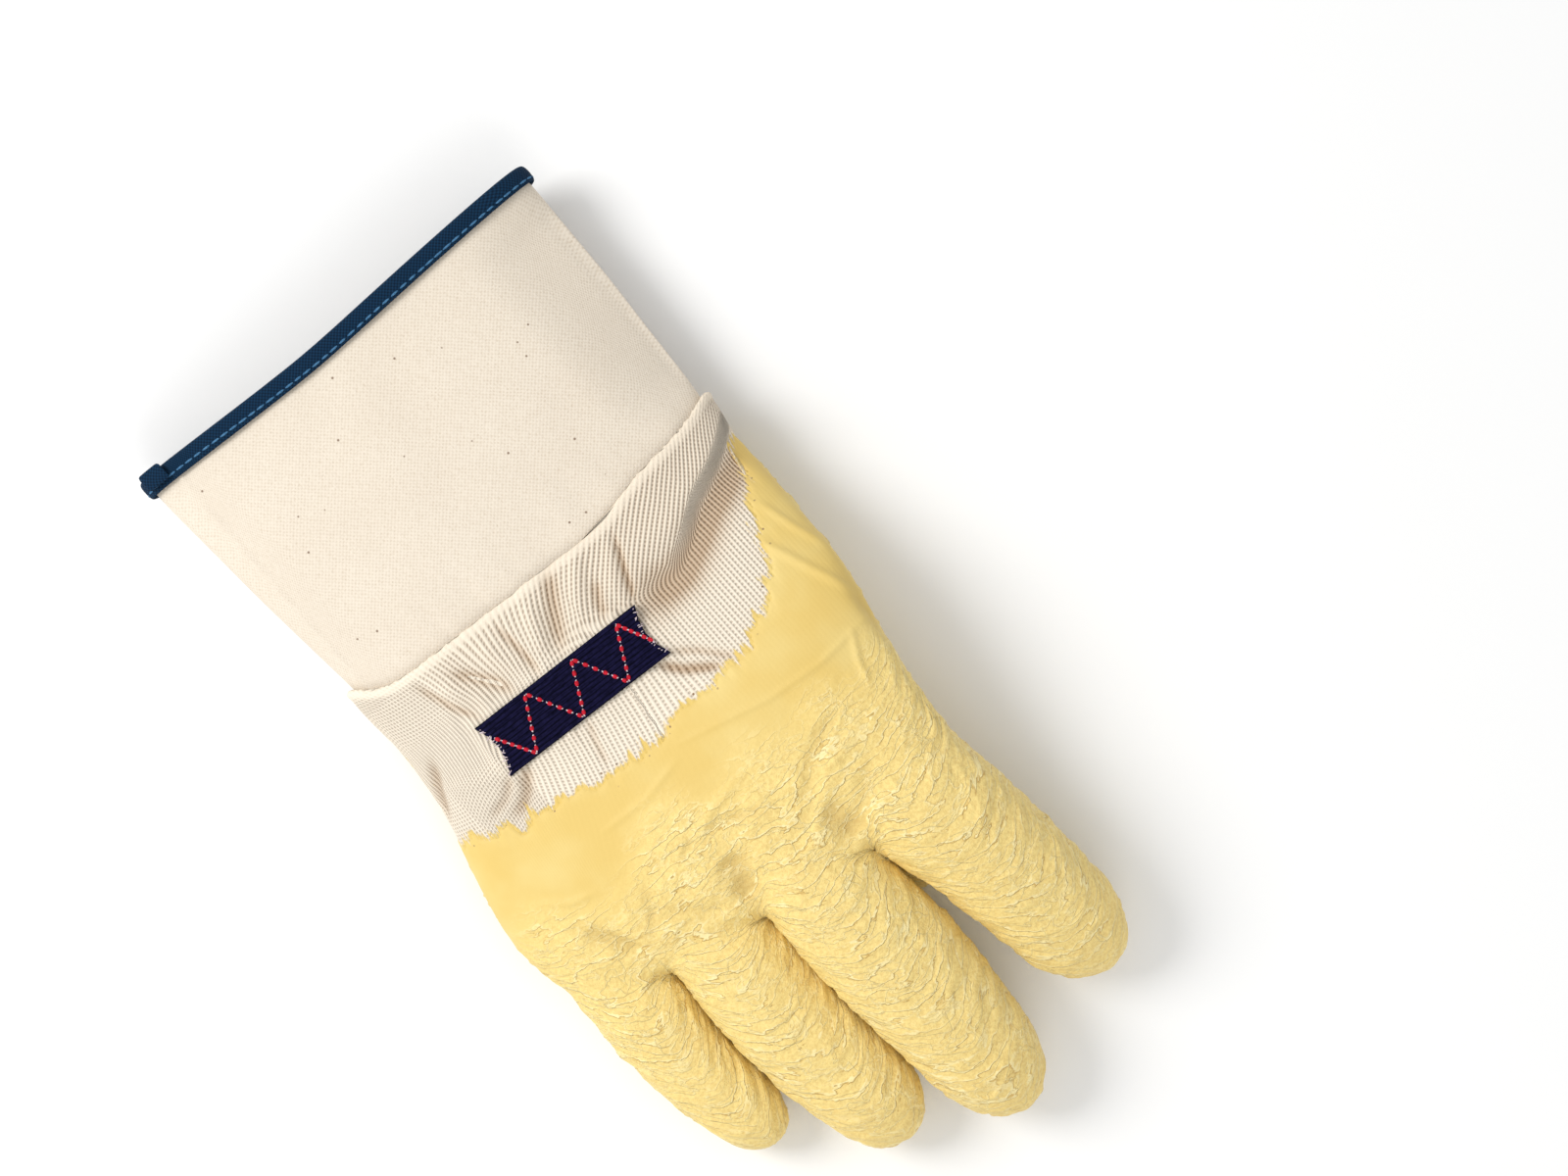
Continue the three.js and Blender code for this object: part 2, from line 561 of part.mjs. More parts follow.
// Tube wall from a closed list of rings.
const tube = (rings) => toSolid(skin([...rings, rings[0]], LINER_SIDES));

const canvasStart = TAPE_THICKNESS + CLEARANCE;
const canvasEnd = seam + CANVAS_TUCK;
const canvasRows = [
  canvasStart,
  ...steps(TAPE_WIDTH * 2, seam - COAT_REACH, 2),
  ...steps(seam - COAT_REACH / 2, canvasEnd, 3),
];
const canvasOuter = canvasRows.map((y) => cuffRing(y, wallAt(y) + CLEARANCE));
const canvasInner = canvasRows.map((y) => cuffRing(y, wallAt(y) + CLEARANCE + CANVAS_WALL));
const canvasCuff = tube([...canvasOuter, ...canvasInner.reverse()]);

// Tape folded over the canvas edge: its section as millimetres from the fold and inwards.
const TAPE_CORNER = 0.8;
const tapeDepth = 2 * TAPE_THICKNESS + 2 * CLEARANCE + CANVAS_WALL;
const tapeRound = TAPE_THICKNESS * TAPE_CORNER;
const TAPE_SECTION = [
  { along: TAPE_WIDTH, inset: 0 },
  { along: tapeRound, inset: 0 },
  { along: 0, inset: tapeRound },
  { along: 0, inset: tapeDepth - tapeRound },
  { along: tapeRound, inset: tapeDepth },
  { along: TAPE_WIDTH, inset: tapeDepth },
  { along: TAPE_WIDTH, inset: tapeDepth - TAPE_THICKNESS },
  { along: TAPE_THICKNESS, inset: tapeDepth - TAPE_THICKNESS },
  { along: TAPE_THICKNESS, inset: TAPE_THICKNESS },
  { along: TAPE_WIDTH, inset: TAPE_THICKNESS },
];
const cuffBinding = tube(TAPE_SECTION.map(({ along, inset }) => cuffRing(along, inset)));

// Turned end of the tape, lapped over the binding on the back at the little finger's side.
const END_OVERHANG = 1;
const END_STEPS = 5;
const END_RIM = 3;             // distance of its outer end from the side of the cuff
const endSection = [
  { along: TAPE_WIDTH - END_OVERHANG, lift: CLEARANCE },
  { along: -END_OVERHANG, lift: CLEARANCE },
  { along: -END_OVERHANG, lift: CLEARANCE + TAPE_THICKNESS },
  { along: TAPE_WIDTH - END_OVERHANG, lift: CLEARANCE + TAPE_THICKNESS },
];
function endRing(x) {
  return (turn) => {
    const { along, lift } = endSection[Math.round(turn * endSection.length)];
    return new THREE.Vector3(x, along + edgeY(x), backHeight(x, Math.max(along, 0)) + lift);
  };
}
const endOuter = CUFF_WIDTH / 2 - END_RIM;
const tapeEnd = loft(steps(endOuter, endOuter - TAPE_END_LENGTH, END_STEPS).map(endRing), endSection.length);

// Elastic band: a strip laid on the knit, its cut ends drawn in.
const BAND_STEPS = 14;
const BAND_ROWS = 4;
const band = new THREE.BoxGeometry(BAND_LENGTH, BAND_WIDTH, BAND_THICKNESS, BAND_STEPS, BAND_ROWS);
const bandPoints = band.attributes.position;
for (let i = 0; i < bandPoints.count; i += 1) {
  const [along, across, lift] = [bandPoints.getX(i), bandPoints.getY(i), bandPoints.getZ(i)];
  const drawn = (BAND_NOTCH * along) / (BAND_LENGTH / 2) * (1 - (across / (BAND_WIDTH / 2)) ** 2);
  const x = BAND_CENTRE.x + (along - drawn) * Math.cos(bandTurn) - across * Math.sin(bandTurn);
  const y = bandY + (along - drawn) * Math.sin(bandTurn) + across * Math.cos(bandTurn);
  bandPoints.setXYZ(i, x, y, backHeight(x, y) + CLEARANCE + BAND_THICKNESS / 2 + lift);
}
const elasticBand = toSolid(band);

const glove = new THREE.Group();
glove.add(
  toMesh('latex_shell', latexShell, 0xf5dc90, 0.62),
  toMesh('knit_back', knitBack, 0xf0e4cf, 0.92),
  toMesh('canvas_cuff', canvasCuff, 0xf1e7d8, 0.85),
  toMesh('cuff_binding', cuffBinding, 0x17395c, 0.8),
  toMesh('tape_end', tapeEnd, 0x1c4166, 0.8),
  toMesh('elastic_band', elasticBand, 0x171a45, 0.75),
);

// The glove stands on the table at the middle of its own box.
const box = new THREE.Box3().setFromObject(glove);
const middle = box.getCenter(new THREE.Vector3());
glove.position.set(-middle.x, -middle.y, -box.min.z);

export default glove;
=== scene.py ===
"""Latex coated work glove for the right hand: crinkled coat over a jersey hand, bare ribbed knit at the
back of the wrist with a stitched elastic band, and a canvas cuff bound with tape."""

import math
import random

import bmesh
import bpy
import numpy as np
from mathutils import Euler, Matrix, Vector, noise
from mathutils.bvhtree import BVHTree
from mathutils.kdtree import KDTree


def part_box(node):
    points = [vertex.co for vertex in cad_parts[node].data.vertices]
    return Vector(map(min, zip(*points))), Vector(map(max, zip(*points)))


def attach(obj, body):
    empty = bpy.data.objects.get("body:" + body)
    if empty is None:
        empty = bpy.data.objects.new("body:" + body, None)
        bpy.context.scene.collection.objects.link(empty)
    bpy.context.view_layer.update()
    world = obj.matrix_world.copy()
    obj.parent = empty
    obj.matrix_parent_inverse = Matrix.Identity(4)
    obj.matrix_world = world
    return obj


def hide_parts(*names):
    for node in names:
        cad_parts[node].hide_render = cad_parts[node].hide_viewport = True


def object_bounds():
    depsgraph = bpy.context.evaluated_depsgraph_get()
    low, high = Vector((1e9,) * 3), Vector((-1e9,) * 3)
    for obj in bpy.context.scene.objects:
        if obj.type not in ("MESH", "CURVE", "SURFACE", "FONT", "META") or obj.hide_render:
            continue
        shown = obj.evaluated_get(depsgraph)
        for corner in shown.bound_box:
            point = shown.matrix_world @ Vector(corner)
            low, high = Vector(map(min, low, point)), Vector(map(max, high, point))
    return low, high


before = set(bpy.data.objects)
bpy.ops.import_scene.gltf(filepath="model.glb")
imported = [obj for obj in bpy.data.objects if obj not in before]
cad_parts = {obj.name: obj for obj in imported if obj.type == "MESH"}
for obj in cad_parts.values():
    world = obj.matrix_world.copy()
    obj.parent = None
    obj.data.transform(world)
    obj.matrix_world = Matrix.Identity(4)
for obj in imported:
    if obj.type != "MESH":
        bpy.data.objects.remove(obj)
cad_low, cad_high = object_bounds()

MM = 0.001
WELD = 1e-6

# The glove's own coordinates in millimetres: +Y to the fingertips from the bound edge,
# +X from the middle of the cuff to the little finger's side, +Z up from the table.
TAPE_WIDTH = 5.5
tape_low, tape_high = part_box("cuff_binding")
ORIGIN = Vector(((tape_low.x + tape_high.x) / 2, tape_high.y - TAPE_WIDTH * MM, 0))
SEAM_Y = 80                    # knit's seam on the canvas


def on_glove(points):
    """Points of the frame in the glove's millimetres."""
    return (points - np.array(ORIGIN)) / MM


def in_frame(x, y, z=0.0):
    return ORIGIN + Vector((x, y, z)) * MM


def smooth_step(value, low, high):
    share = np.clip((value - low) / (high - low), 0, 1)
    return share * share * (3 - 2 * share)


# Camera: straight above, with the fingers pointing down to the right.
VIEW_WIDTH = 0.4032            # width of floor that the picture spans
VIEW_TURN = math.radians(137.8)
VIEW_CENTRE = (-41.5, 126.8)
LENS = 85
SENSOR = 36


def make_camera():
    """A camera that looks straight down."""
    data = bpy.data.cameras.new("camera")
    data.lens = LENS
    data.sensor_width = SENSOR
    data.clip_start = 0.05
    camera = bpy.data.objects.new("camera", data)
    bpy.context.scene.collection.objects.link(camera)
    camera.location = in_frame(*VIEW_CENTRE)
    camera.location.z = VIEW_WIDTH * LENS / SENSOR + (cad_high.z - cad_low.z) / 2
    camera.rotation_euler = Euler((0, 0, VIEW_TURN))
    bpy.context.scene.camera = camera


def add_light(name, place, size, energy, colour):
    """A round soft lamp that points at the glove."""
    data = bpy.data.lights.new(name, "AREA")
    data.shape = "DISK"
    data.size = size
    data.energy = energy
    data.color = colour
    light = bpy.data.objects.new(name, data)
    bpy.context.scene.collection.objects.link(light)
    light.location = place
    light.rotation_euler = (-Vector(place)).to_track_quat("-Z", "Y").to_euler()


def make_studio():
    add_light("key", (0.65, -0.98, 1.05), 0.8, 15.0, (1, 0.985, 0.965))
    add_light("fill", (0.45, 1.05, 1.1), 1.2, 5.2, (1, 0.99, 0.97))
    world = bpy.data.worlds.new("studio")
    world.use_nodes = True
    background = world.node_tree.nodes["Background"]
    background.inputs["Color"].default_value = (1, 0.995, 0.985, 1)
    background.inputs["Strength"].default_value = 0.6
    bpy.context.scene.world = world
    bpy.context.scene.view_settings.view_transform = "Standard"


class Value:
    """A number that varies over a surface. Python's operators on it add Math nodes."""

    def __init__(self, finish, socket):
        self.finish = finish
        self.socket = socket

    def math(self, operation, *others):
        return self.finish.add("ShaderNodeMath", {"operation": operation}, dict(enumerate((self, *others))))

    def __add__(self, other):
        return self.math("ADD", other)

    def __sub__(self, other):
        return self.math("SUBTRACT", other)

    def __mul__(self, other):
        return self.math("MULTIPLY", other)

    def __truediv__(self, other):
        return self.math("DIVIDE", other)

    def __rsub__(self, other):
        return self * -1 + other

    __radd__ = __add__
    __rmul__ = __mul__

    def sine(self):
        return self.math("SINE")

    def size(self):
        return self.math("ABSOLUTE")

    def whole(self):
        return self.math("FLOOR")

    def smallest(self, other):
        return self.math("MINIMUM", other)

    def largest(self, other):
        return self.math("MAXIMUM", other)

    def ramp(self, low, high):
        """0 below low, 1 above high, eased in between."""
        sockets = {"Value": self, "From Min": low, "From Max": high}
        return self.finish.add("ShaderNodeMapRange", {"interpolation_type": "SMOOTHSTEP"}, sockets)


class Finish:
    """A material and what feeds its shader."""

    def __init__(self, name, roughness, shine=0.25):
        self.material = bpy.data.materials.new(name)
        self.material.use_nodes = True
        self.tree = self.material.node_tree
        self.shader = self.tree.nodes["Principled BSDF"]
        self.shader.inputs["Roughness"].default_value = roughness
        self.shader.inputs["Specular IOR Level"].default_value = shine

    def add(self, kind, settings, sockets, output=0):
        node = self.tree.nodes.new(kind)
        for key, setting in settings.items():
            setattr(node, key, setting)
        for key, given in sockets.items():
            if isinstance(given, Value):
                self.tree.links.new(given.socket, node.inputs[key])
            else:
                node.inputs[key].default_value = given
        return Value(self, node.outputs[output])

    def place(self, stretch=(1, 1, 1)):
        """The point on the surface in millimetres, each axis multiplied by stretch."""
        spot = self.add("ShaderNodeTexCoord", {}, {}, "Object")
        scale = tuple(share / MM for share in stretch)
        return self.add("ShaderNodeMapping", {}, {"Vector": spot, "Scale": scale})

    def stored(self, name):
        """A value kept on the mesh's own points."""
        return self.add("ShaderNodeAttribute", {"attribute_name": name}, {}, "Fac")

    def vector(self, x, y, z=0.0):
        return self.add("ShaderNodeCombineXYZ", {}, {"X": x, "Y": y, "Z": z})

    def parts(self, vector):
        return [self.add("ShaderNodeSeparateXYZ", {}, {"Vector": vector}, axis) for axis in "XYZ"]

    def cloud(self, vector, scale, detail=2.0, rough=0.5):
        """Soft noise from 0 to 1, scale waves to the millimetre."""
        sockets = {"Vector": vector, "Scale": scale, "Detail": detail, "Roughness": rough}
        return self.add("ShaderNodeTexNoise", {}, sockets, "Fac")

    def cells(self, vector, scale, feature="F1", output="Distance"):
        sockets = {"Vector": vector, "Scale": scale}
        return self.add("ShaderNodeTexVoronoi", {"feature": feature}, sockets, output)

    def mix(self, share, first, second):
        """Colour from first to second."""
        colours = {0: share, 6: tint(first), 7: tint(second)}
        return self.add("ShaderNodeMix", {"data_type": "RGBA"}, colours, 2)

    def colour(self, value):
        self.tree.links.new(value.socket, self.shader.inputs["Base Color"])

    def roughness(self, value):
        self.tree.links.new(value.socket, self.shader.inputs["Roughness"])

    def relief(self, height, strength=1.0):
        """Bump, its height in millimetres."""
        sockets = {"Height": height, "Distance": MM, "Strength": strength}
        bump = self.add("ShaderNodeBump", {}, sockets)
        self.tree.links.new(bump.socket, self.shader.inputs["Normal"])


def tint(colour):
    return colour if isinstance(colour, Value) else (*colour, 1)


def new_piece(name, shape, finish, smooth=True):
    """Object of a bmesh, at the origin, with its finish."""
    mesh = bpy.data.meshes.new(name)
    shape.to_mesh(mesh)
    shape.free()
    piece = bpy.data.objects.new(name, mesh)
    bpy.context.scene.collection.objects.link(piece)
    if smooth:
        mesh.shade_smooth()
    if finish:
        mesh.materials.append(finish.material)
    return piece


def welded(node):
    """Copy of a node of the frame with its loose triangles joined."""
    shape = bmesh.new()
    shape.from_mesh(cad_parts[node].data)
    bmesh.ops.remove_doubles(shape, verts=shape.verts, dist=WELD)
    return shape


def settle(piece):
    """Puts the result of a piece's modifiers into its mesh."""
    graph = bpy.context.evaluated_depsgraph_get()
    mesh = bpy.data.meshes.new_from_object(piece.evaluated_get(graph))
    piece.modifiers.clear()
    piece.data = mesh
    mesh.name = piece.name


def points_of(mesh):
    found = np.zeros(len(mesh.vertices) * 3)
    mesh.vertices.foreach_get("co", found)
    return found.reshape(-1, 3)


def normals_of(mesh):
    found = np.zeros(len(mesh.vertices) * 3)
    mesh.vertex_normals.foreach_get("vector", found)
    return found.reshape(-1, 3)


def move_points(mesh, points):
    """Puts a piece's points in new places, none under the table's surface."""
    moved = np.array(points, np.float32)
    moved[:, 2] = np.maximum(moved[:, 2], 0)
    mesh.vertices.foreach_set("co", moved.ravel())
    mesh.update()


def store(mesh, name, values):
    layer = mesh.attributes.get(name) or mesh.attributes.new(name, "FLOAT", "POINT")
    layer.data.foreach_set("value", np.asarray(values, np.float32))


def ease(piece, weights, rounds, factor=0.5):
    """Smooths the points of a piece by their weights."""
    group = piece.vertex_groups.new(name="ease")
    for i, weight in enumerate(weights):
        group.add([i], float(weight), "REPLACE")
    modifier = piece.modifiers.new("ease", "SMOOTH")
    modifier.factor = factor
    modifier.iterations = rounds
    modifier.vertex_group = group.name
    settle(piece)
    piece.vertex_groups.clear()


# Shape of the hand: the coat and the knit are one fabric, so both pieces are cut from one skin.
VOXEL = 0.72
SHARP = math.radians(50)       # outward edges sharper than this are the cut edge of a wall
EASE_ROUNDS = 80
HAND_TRIANGLES = 232000        # the unseen inner side and the underside give up points first
UNSEEN_FACTOR = 2.5            # how much sooner they do
UNDERSIDE = -0.35              # a surface that faces further down is the underside
UNDERSIDE_SHARE = 0.5
FINE_BESIDE_CUT = 7            # the inner side keeps its points this near to the coat's edge
WALL_FROM, WALL_TO = 0.6, 1.3  # depths in the cloth between which its inner side begins
SEAM_APART = 3                 # the knit's edge counts as seam this far from the coat


def outer_skin(node):
    """The outer side of a node's wall: the faces reached from its highest point without
    crossing the cut edge of the wall."""
    shape = welded(node)
    top = max(shape.verts, key=lambda vertex: vertex.co.z)
    found = set(top.link_faces)
    waiting = list(found)
    while waiting:
        for edge in waiting.pop().edges:
            if len(edge.link_faces) < 2 or (edge.is_convex and edge.calc_face_angle(0) > SHARP):
                continue
            for face in edge.link_faces:
                if face not in found:
                    found.add(face)
                    waiting.append(face)
    rest = [face for face in shape.faces if face not in found]
    bmesh.ops.delete(shape, geom=rest, context="FACES")
    return shape


def distances(tree, points):
    return np.array([tree.find_nearest(point)[3] for point in points]) / MM


coat_side = outer_skin("latex_shell")
knit_side = outer_skin("knit_back")
coat_tree = BVHTree.FromBMesh(coat_side)
knit_tree = BVHTree.FromBMesh(knit_side)


def seam_tree():
    """Points along the knit's edge on the canvas."""
    edge = [e for e in knit_side.edges if e.is_boundary]
    places = [e.verts[0].co.lerp(e.verts[1].co, share) for e in edge for share in (0, 0.33, 0.67)]
    free = [place for place in places if coat_tree.find_nearest(place)[3] > SEAM_APART * MM]
    tree = KDTree(len(free))
    for i, place in enumerate(free):
        tree.insert(place, i)
    tree.balance()
    return tree


knit_edge = seam_tree()


class Skin:
    """What the finishes and the relief need to know at each point of the hand's surface."""

    def __init__(self, mesh):
        self.points = points_of(mesh)
        self.normals = normals_of(mesh)
        to_coat = distances(coat_tree, self.points)
        to_knit = distances(knit_tree, self.points)
        self.past_edge = to_knit - to_coat
        self.outer = 1 - smooth_step(np.minimum(to_coat, to_knit), WALL_FROM, WALL_TO)
        self.from_seam = np.array([knit_edge.find(point)[2] for point in self.points]) / MM
        self.spots = on_glove(self.points)


def whole_hand():
    """One closed, even mesh over the coat and the knit, its facets eased away."""
    shape = welded("latex_shell")
    shape.from_mesh(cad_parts["knit_back"].data)
    bmesh.ops.remove_doubles(shape, verts=shape.verts, dist=WELD)
    hand = new_piece("hand", shape, None)
    remesh = hand.modifiers.new("even", "REMESH")
    remesh.mode = "VOXEL"
    remesh.voxel_size = VOXEL * MM
    settle(hand)
    skin = Skin(hand.data)
    ease(hand, skin.outer ** 2, EASE_ROUNDS)
    group = hand.vertex_groups.new(name="unseen")
    unseen = np.maximum(skin.outer < 0.05, UNDERSIDE_SHARE * (skin.normals[:, 2] < UNDERSIDE))
    unseen = unseen * (np.abs(skin.past_edge) > FINE_BESIDE_CUT)
    for i in np.nonzero(unseen)[0]:
        group.add([int(i)], float(unseen[i]), "REPLACE")
    thin = hand.modifiers.new("thin", "DECIMATE")
    thin.ratio = HAND_TRIANGLES / (2 * len(hand.data.polygons))
    thin.vertex_group = group.name
    thin.vertex_group_factor = UNSEEN_FACTOR
    settle(hand)
    hand.vertex_groups.clear()
    return hand


# Relief of the coat: thin creases that run across the fingers in arcs, a net of small cells on the palm.
ARC_DROP = 13.0                # how far a crease falls from the middle of a finger to its sides
CREASE_ACROSS = 13.0
CREASE_ALONG = 6.0
CREASE_HEIGHT = 0.34
PLATE_HEIGHT = 0.8
CREST_WIDTH = 0.13
FINE_CREST_WIDTH = 0.16
NET_CELL = 5.0
NET_HEIGHT = 0.6
NET_LINE = 0.2
WARP_REACH = 9.0
WARP = 2.6
SMOOTH_FROM, SMOOTH_TO = 143, 160  # places along the back between which the coat turns crinkled
SMOOTH_WANDER = 9              # how far that border wanders up and down the back
COAT_FILM = 0.32
COAT_LIFT = 0.04               # height of the coat's thin edge over the knit
KNIT_SINK = 0.5                # how far the knit goes down under the coat
ROLL_HEIGHT = 0.65             # the rolled seam of the knit on the canvas
ROLL_PLACE = 1.3
ROLL_WIDTH = 1.1
RAGGED_BROAD = 3.2             # waves and teeth of the coat's ragged edge
RAGGED_TEETH = 2.4
DEEP_CREASE = 1.8              # a fold this deep has its full shade
PALM_FACING = -0.2             # a surface that faces further down belongs to the palm

# Folds of the fabric: the path in the glove's millimetres, depth and half width in millimetres. A
# depth below 0 is a ridge. The elastic draws the first ones into the knit, the rest lie in the coat.
FOLDS = [
    {
        "path": [(-9, 107), (-25, 106.5), (-33, 103), (-41, 99), (-51, 96), (-60, 91)],
        "depth": 2.2,
        "reach": 5.2,
    },
    {"path": [(-24, 100), (-34, 95.5), (-45, 91), (-56, 86)], "depth": -1.3, "reach": 3.6},
    {"path": [(-11.5, 103), (-14, 97), (-18.5, 87.5)], "depth": 1.5, "reach": 0.8},
    {"path": [(-3, 101.5), (-4, 98), (-7, 93)], "depth": 1.1, "reach": 1.4},
    {"path": [(11, 100), (8, 95), (4, 89), (0, 83)], "depth": 1.2, "reach": 2.0},
    {"path": [(15, 99), (13, 93), (9, 85)], "depth": -1.3, "reach": 2.2},
    {"path": [(2, 99), (-1, 93), (-8, 85)], "depth": -1.2, "reach": 2.0},
    {"path": [(-9, 100), (-12, 94), (-17, 88)], "depth": -0.8, "reach": 1.8},
    {"path": [(19, 101), (19, 94), (19.5, 85)], "depth": 1.0, "reach": 0.9},
    {"path": [(23, 100), (24, 93), (26, 85)], "depth": -0.9, "reach": 1.8},
    {"path": [(27, 100), (29.5, 95), (34, 89), (37, 86)], "depth": 1.1, "reach": 1.6},
    {"path": [(33, 99), (37, 92), (41, 86)], "depth": -1.2, "reach": 2.0},
    {"path": [(38.5, 99), (42, 92), (45.5, 82)], "depth": 1.0, "reach": 0.9},
    {"path": [(-4.5, 119.5), (-9, 125), (-17, 131)], "depth": 1.8, "reach": 1.2},
    {"path": [(-9, 119), (-15, 124), (-22, 133)], "depth": 0.9, "reach": 1.0},
    {"path": [(18, 118), (20, 123), (22, 130)], "depth": 0.7, "reach": 0.9},
    {"path": [(37.5, 116), (42, 121), (45, 123), (49, 124)], "depth": 1.3, "reach": 1.5},
    {"path": [(42, 115), (48, 119), (54, 120)], "depth": 0.8, "reach": 1.2},
    {"path": [(43, 113), (49, 112), (57, 107)], "depth": -0.6, "reach": 2.2},
    {"path": [(64, 113), (60, 106), (56, 99)], "depth": 1.2, "reach": 1.5},
    {"path": [(-52, 146), (-36, 147), (-20, 145), (-6, 141), (5, 138)], "depth": -0.5, "reach": 0.75},
    {"path": [(8, 141), (20, 143), (34, 142)], "depth": -0.4, "reach": 0.75},
    {"path": [(-54, 139), (-50, 128), (-45, 114)], "depth": -0.8, "reach": 1.1},
    {"path": [(-57, 128), (-54, 118), (-51, 106)], "depth": -0.7, "reach": 1.0},
    {"path": [(-41, 160), (-43, 153), (-47, 146)], "depth": -0.6, "reach": 0.8},
    {"path": [(-56, 172), (-53, 150), (-55, 132)], "depth": 0.8, "reach": 1.6},
    {"path": [(46, 152), (53, 150), (60, 144)], "depth": -0.5, "reach": 0.8},
    {"path": [(-14, 186), (-12, 174)], "depth": 1.8, "reach": 4.0},
    {"path": [(-14, 184), (-22, 179), (-30, 172)], "depth": 0.6, "reach": 2.0},
    {"path": [(18, 180), (14, 167)], "depth": 1.9, "reach": 3.6},
    {"path": [(22, 177), (29, 174), (38, 166)], "depth": 0.6, "reach": 2.4},
    {"path": [(47.5, 172), (50, 166), (56, 157)], "depth": 1.6, "reach": 2.2},
    {"path": [(45, 171), (40, 167), (35, 159)], "depth": 0.7, "reach": 2.2},
    {"path": [(-8, 171), (-18, 163), (-30, 158)], "depth": 0.8, "reach": 2.0},
    {"path": [(-3, 166), (10, 160), (24, 159)], "depth": 0.8, "reach": 1.6},
    {"path": [(0, 155), (10, 156), (21, 161)], "depth": -0.8, "reach": 1.3},
    {"path": [(-31, 165), (-20, 168), (-7, 177)], "depth": -0.7, "reach": 1.5},
]


def fold_depth(spots):
    """How far the folds press the back of the hand in, in millimetres. A fold fades at its ends."""
    total = np.zeros(len(spots))
    for fold in FOLDS:
        path = np.array(fold["path"], float)
        low, high = path.min(axis=0) - 3 * fold["reach"], path.max(axis=0) + 3 * fold["reach"]
        near = np.nonzero(np.all((spots[:, :2] > low) & (spots[:, :2] < high), axis=1))[0]
        flat = spots[near, :2]
        away = np.full(len(near), np.inf)
        place = np.zeros(len(near))
        walked = 0.0
        for start, run in zip(path, np.diff(path, axis=0)):
            length = np.linalg.norm(run)
            share = np.clip((flat - start) @ run / length ** 2, 0, 1)
            gap = np.linalg.norm(flat - start - share[:, None] * run, axis=1)
            place = np.where(gap < away, walked + share * length, place)
            away = np.minimum(away, gap)
            walked += length
        ends = np.minimum(place, walked - place) / (0.25 * walked)
        total[near] += fold["depth"] * np.exp(-(away / fold["reach"]) ** 2) * smooth_step(ends, -0.5, 1)
    return total


BAND_CENTRE = (16.0, 110.0)
BAND_TURN = math.radians(-4.5)
BAND_LENGTH = 52
BAND_WIDTH = 15.3


def band_place(spots):
    """Places along and across the elastic band, from its middle."""
    x = spots[:, 0] - BAND_CENTRE[0]
    y = spots[:, 1] - BAND_CENTRE[1]
    along = x * math.cos(BAND_TURN) + y * math.sin(BAND_TURN)
    across = y * math.cos(BAND_TURN) - x * math.sin(BAND_TURN)
    return along, across


PUCKER_HEIGHT = 0.7            # small gathers beside the band
PUCKER_REACH = 7
PUCKER_WIDTH = 2.4
SWELL_HEIGHT = 0.6             # the knit swells this much right beside the band
SWELL_REACH = 2.5


def puckers(spots):
    """Height of the small gathers that the band draws into the knit, which swells beside it."""
    along, across = band_place(spots)
    beside = np.maximum(np.abs(across) - BAND_WIDTH / 2, 0)
    past_end = np.maximum(np.abs(along) - BAND_LENGTH / 2, 0)
    reach = np.exp(-(beside / PUCKER_REACH) ** 2 - (past_end / 6) ** 2)
    found = np.zeros(len(spots))
    for i in np.nonzero(reach > 0.03)[0]:
        found[i] = noise.noise(Vector((along[i] / PUCKER_WIDTH, across[i] / 14, 4.5)))
    swell = np.exp(-(beside / SWELL_REACH) ** 2 - (past_end / SWELL_REACH) ** 2)
    return PUCKER_HEIGHT * found * reach + SWELL_HEIGHT * swell


def crest(place, width):
    """1 on a crease line through a noise field, falling to 0 beside it."""
    return math.exp(-(noise.noise(place) / width) ** 2)


def crinkle(spot, along, palm):
    """Height of the coat's relief at a place, in millimetres."""
    warp = noise.noise_vector(spot / WARP_REACH) * WARP
    if palm:
        near = noise.voronoi((spot + warp) / NET_CELL)[0]
        return NET_HEIGHT * math.exp(-((near[1] - near[0]) / NET_LINE) ** 2)
    across = (spot.x + warp.x) / CREASE_ACROSS
    place = Vector((across, (along + warp.y) / CREASE_ALONG, spot.z / CREASE_ACROSS))
    plate = abs(noise.noise(place * 0.8 + Vector((7, 3, 1))))
    fine = crest(place * 1.7 + Vector((3, 9, 4)), FINE_CREST_WIDTH)
    return CREASE_HEIGHT * (crest(place, CREST_WIDTH) + 0.6 * fine) + PLATE_HEIGHT * plate


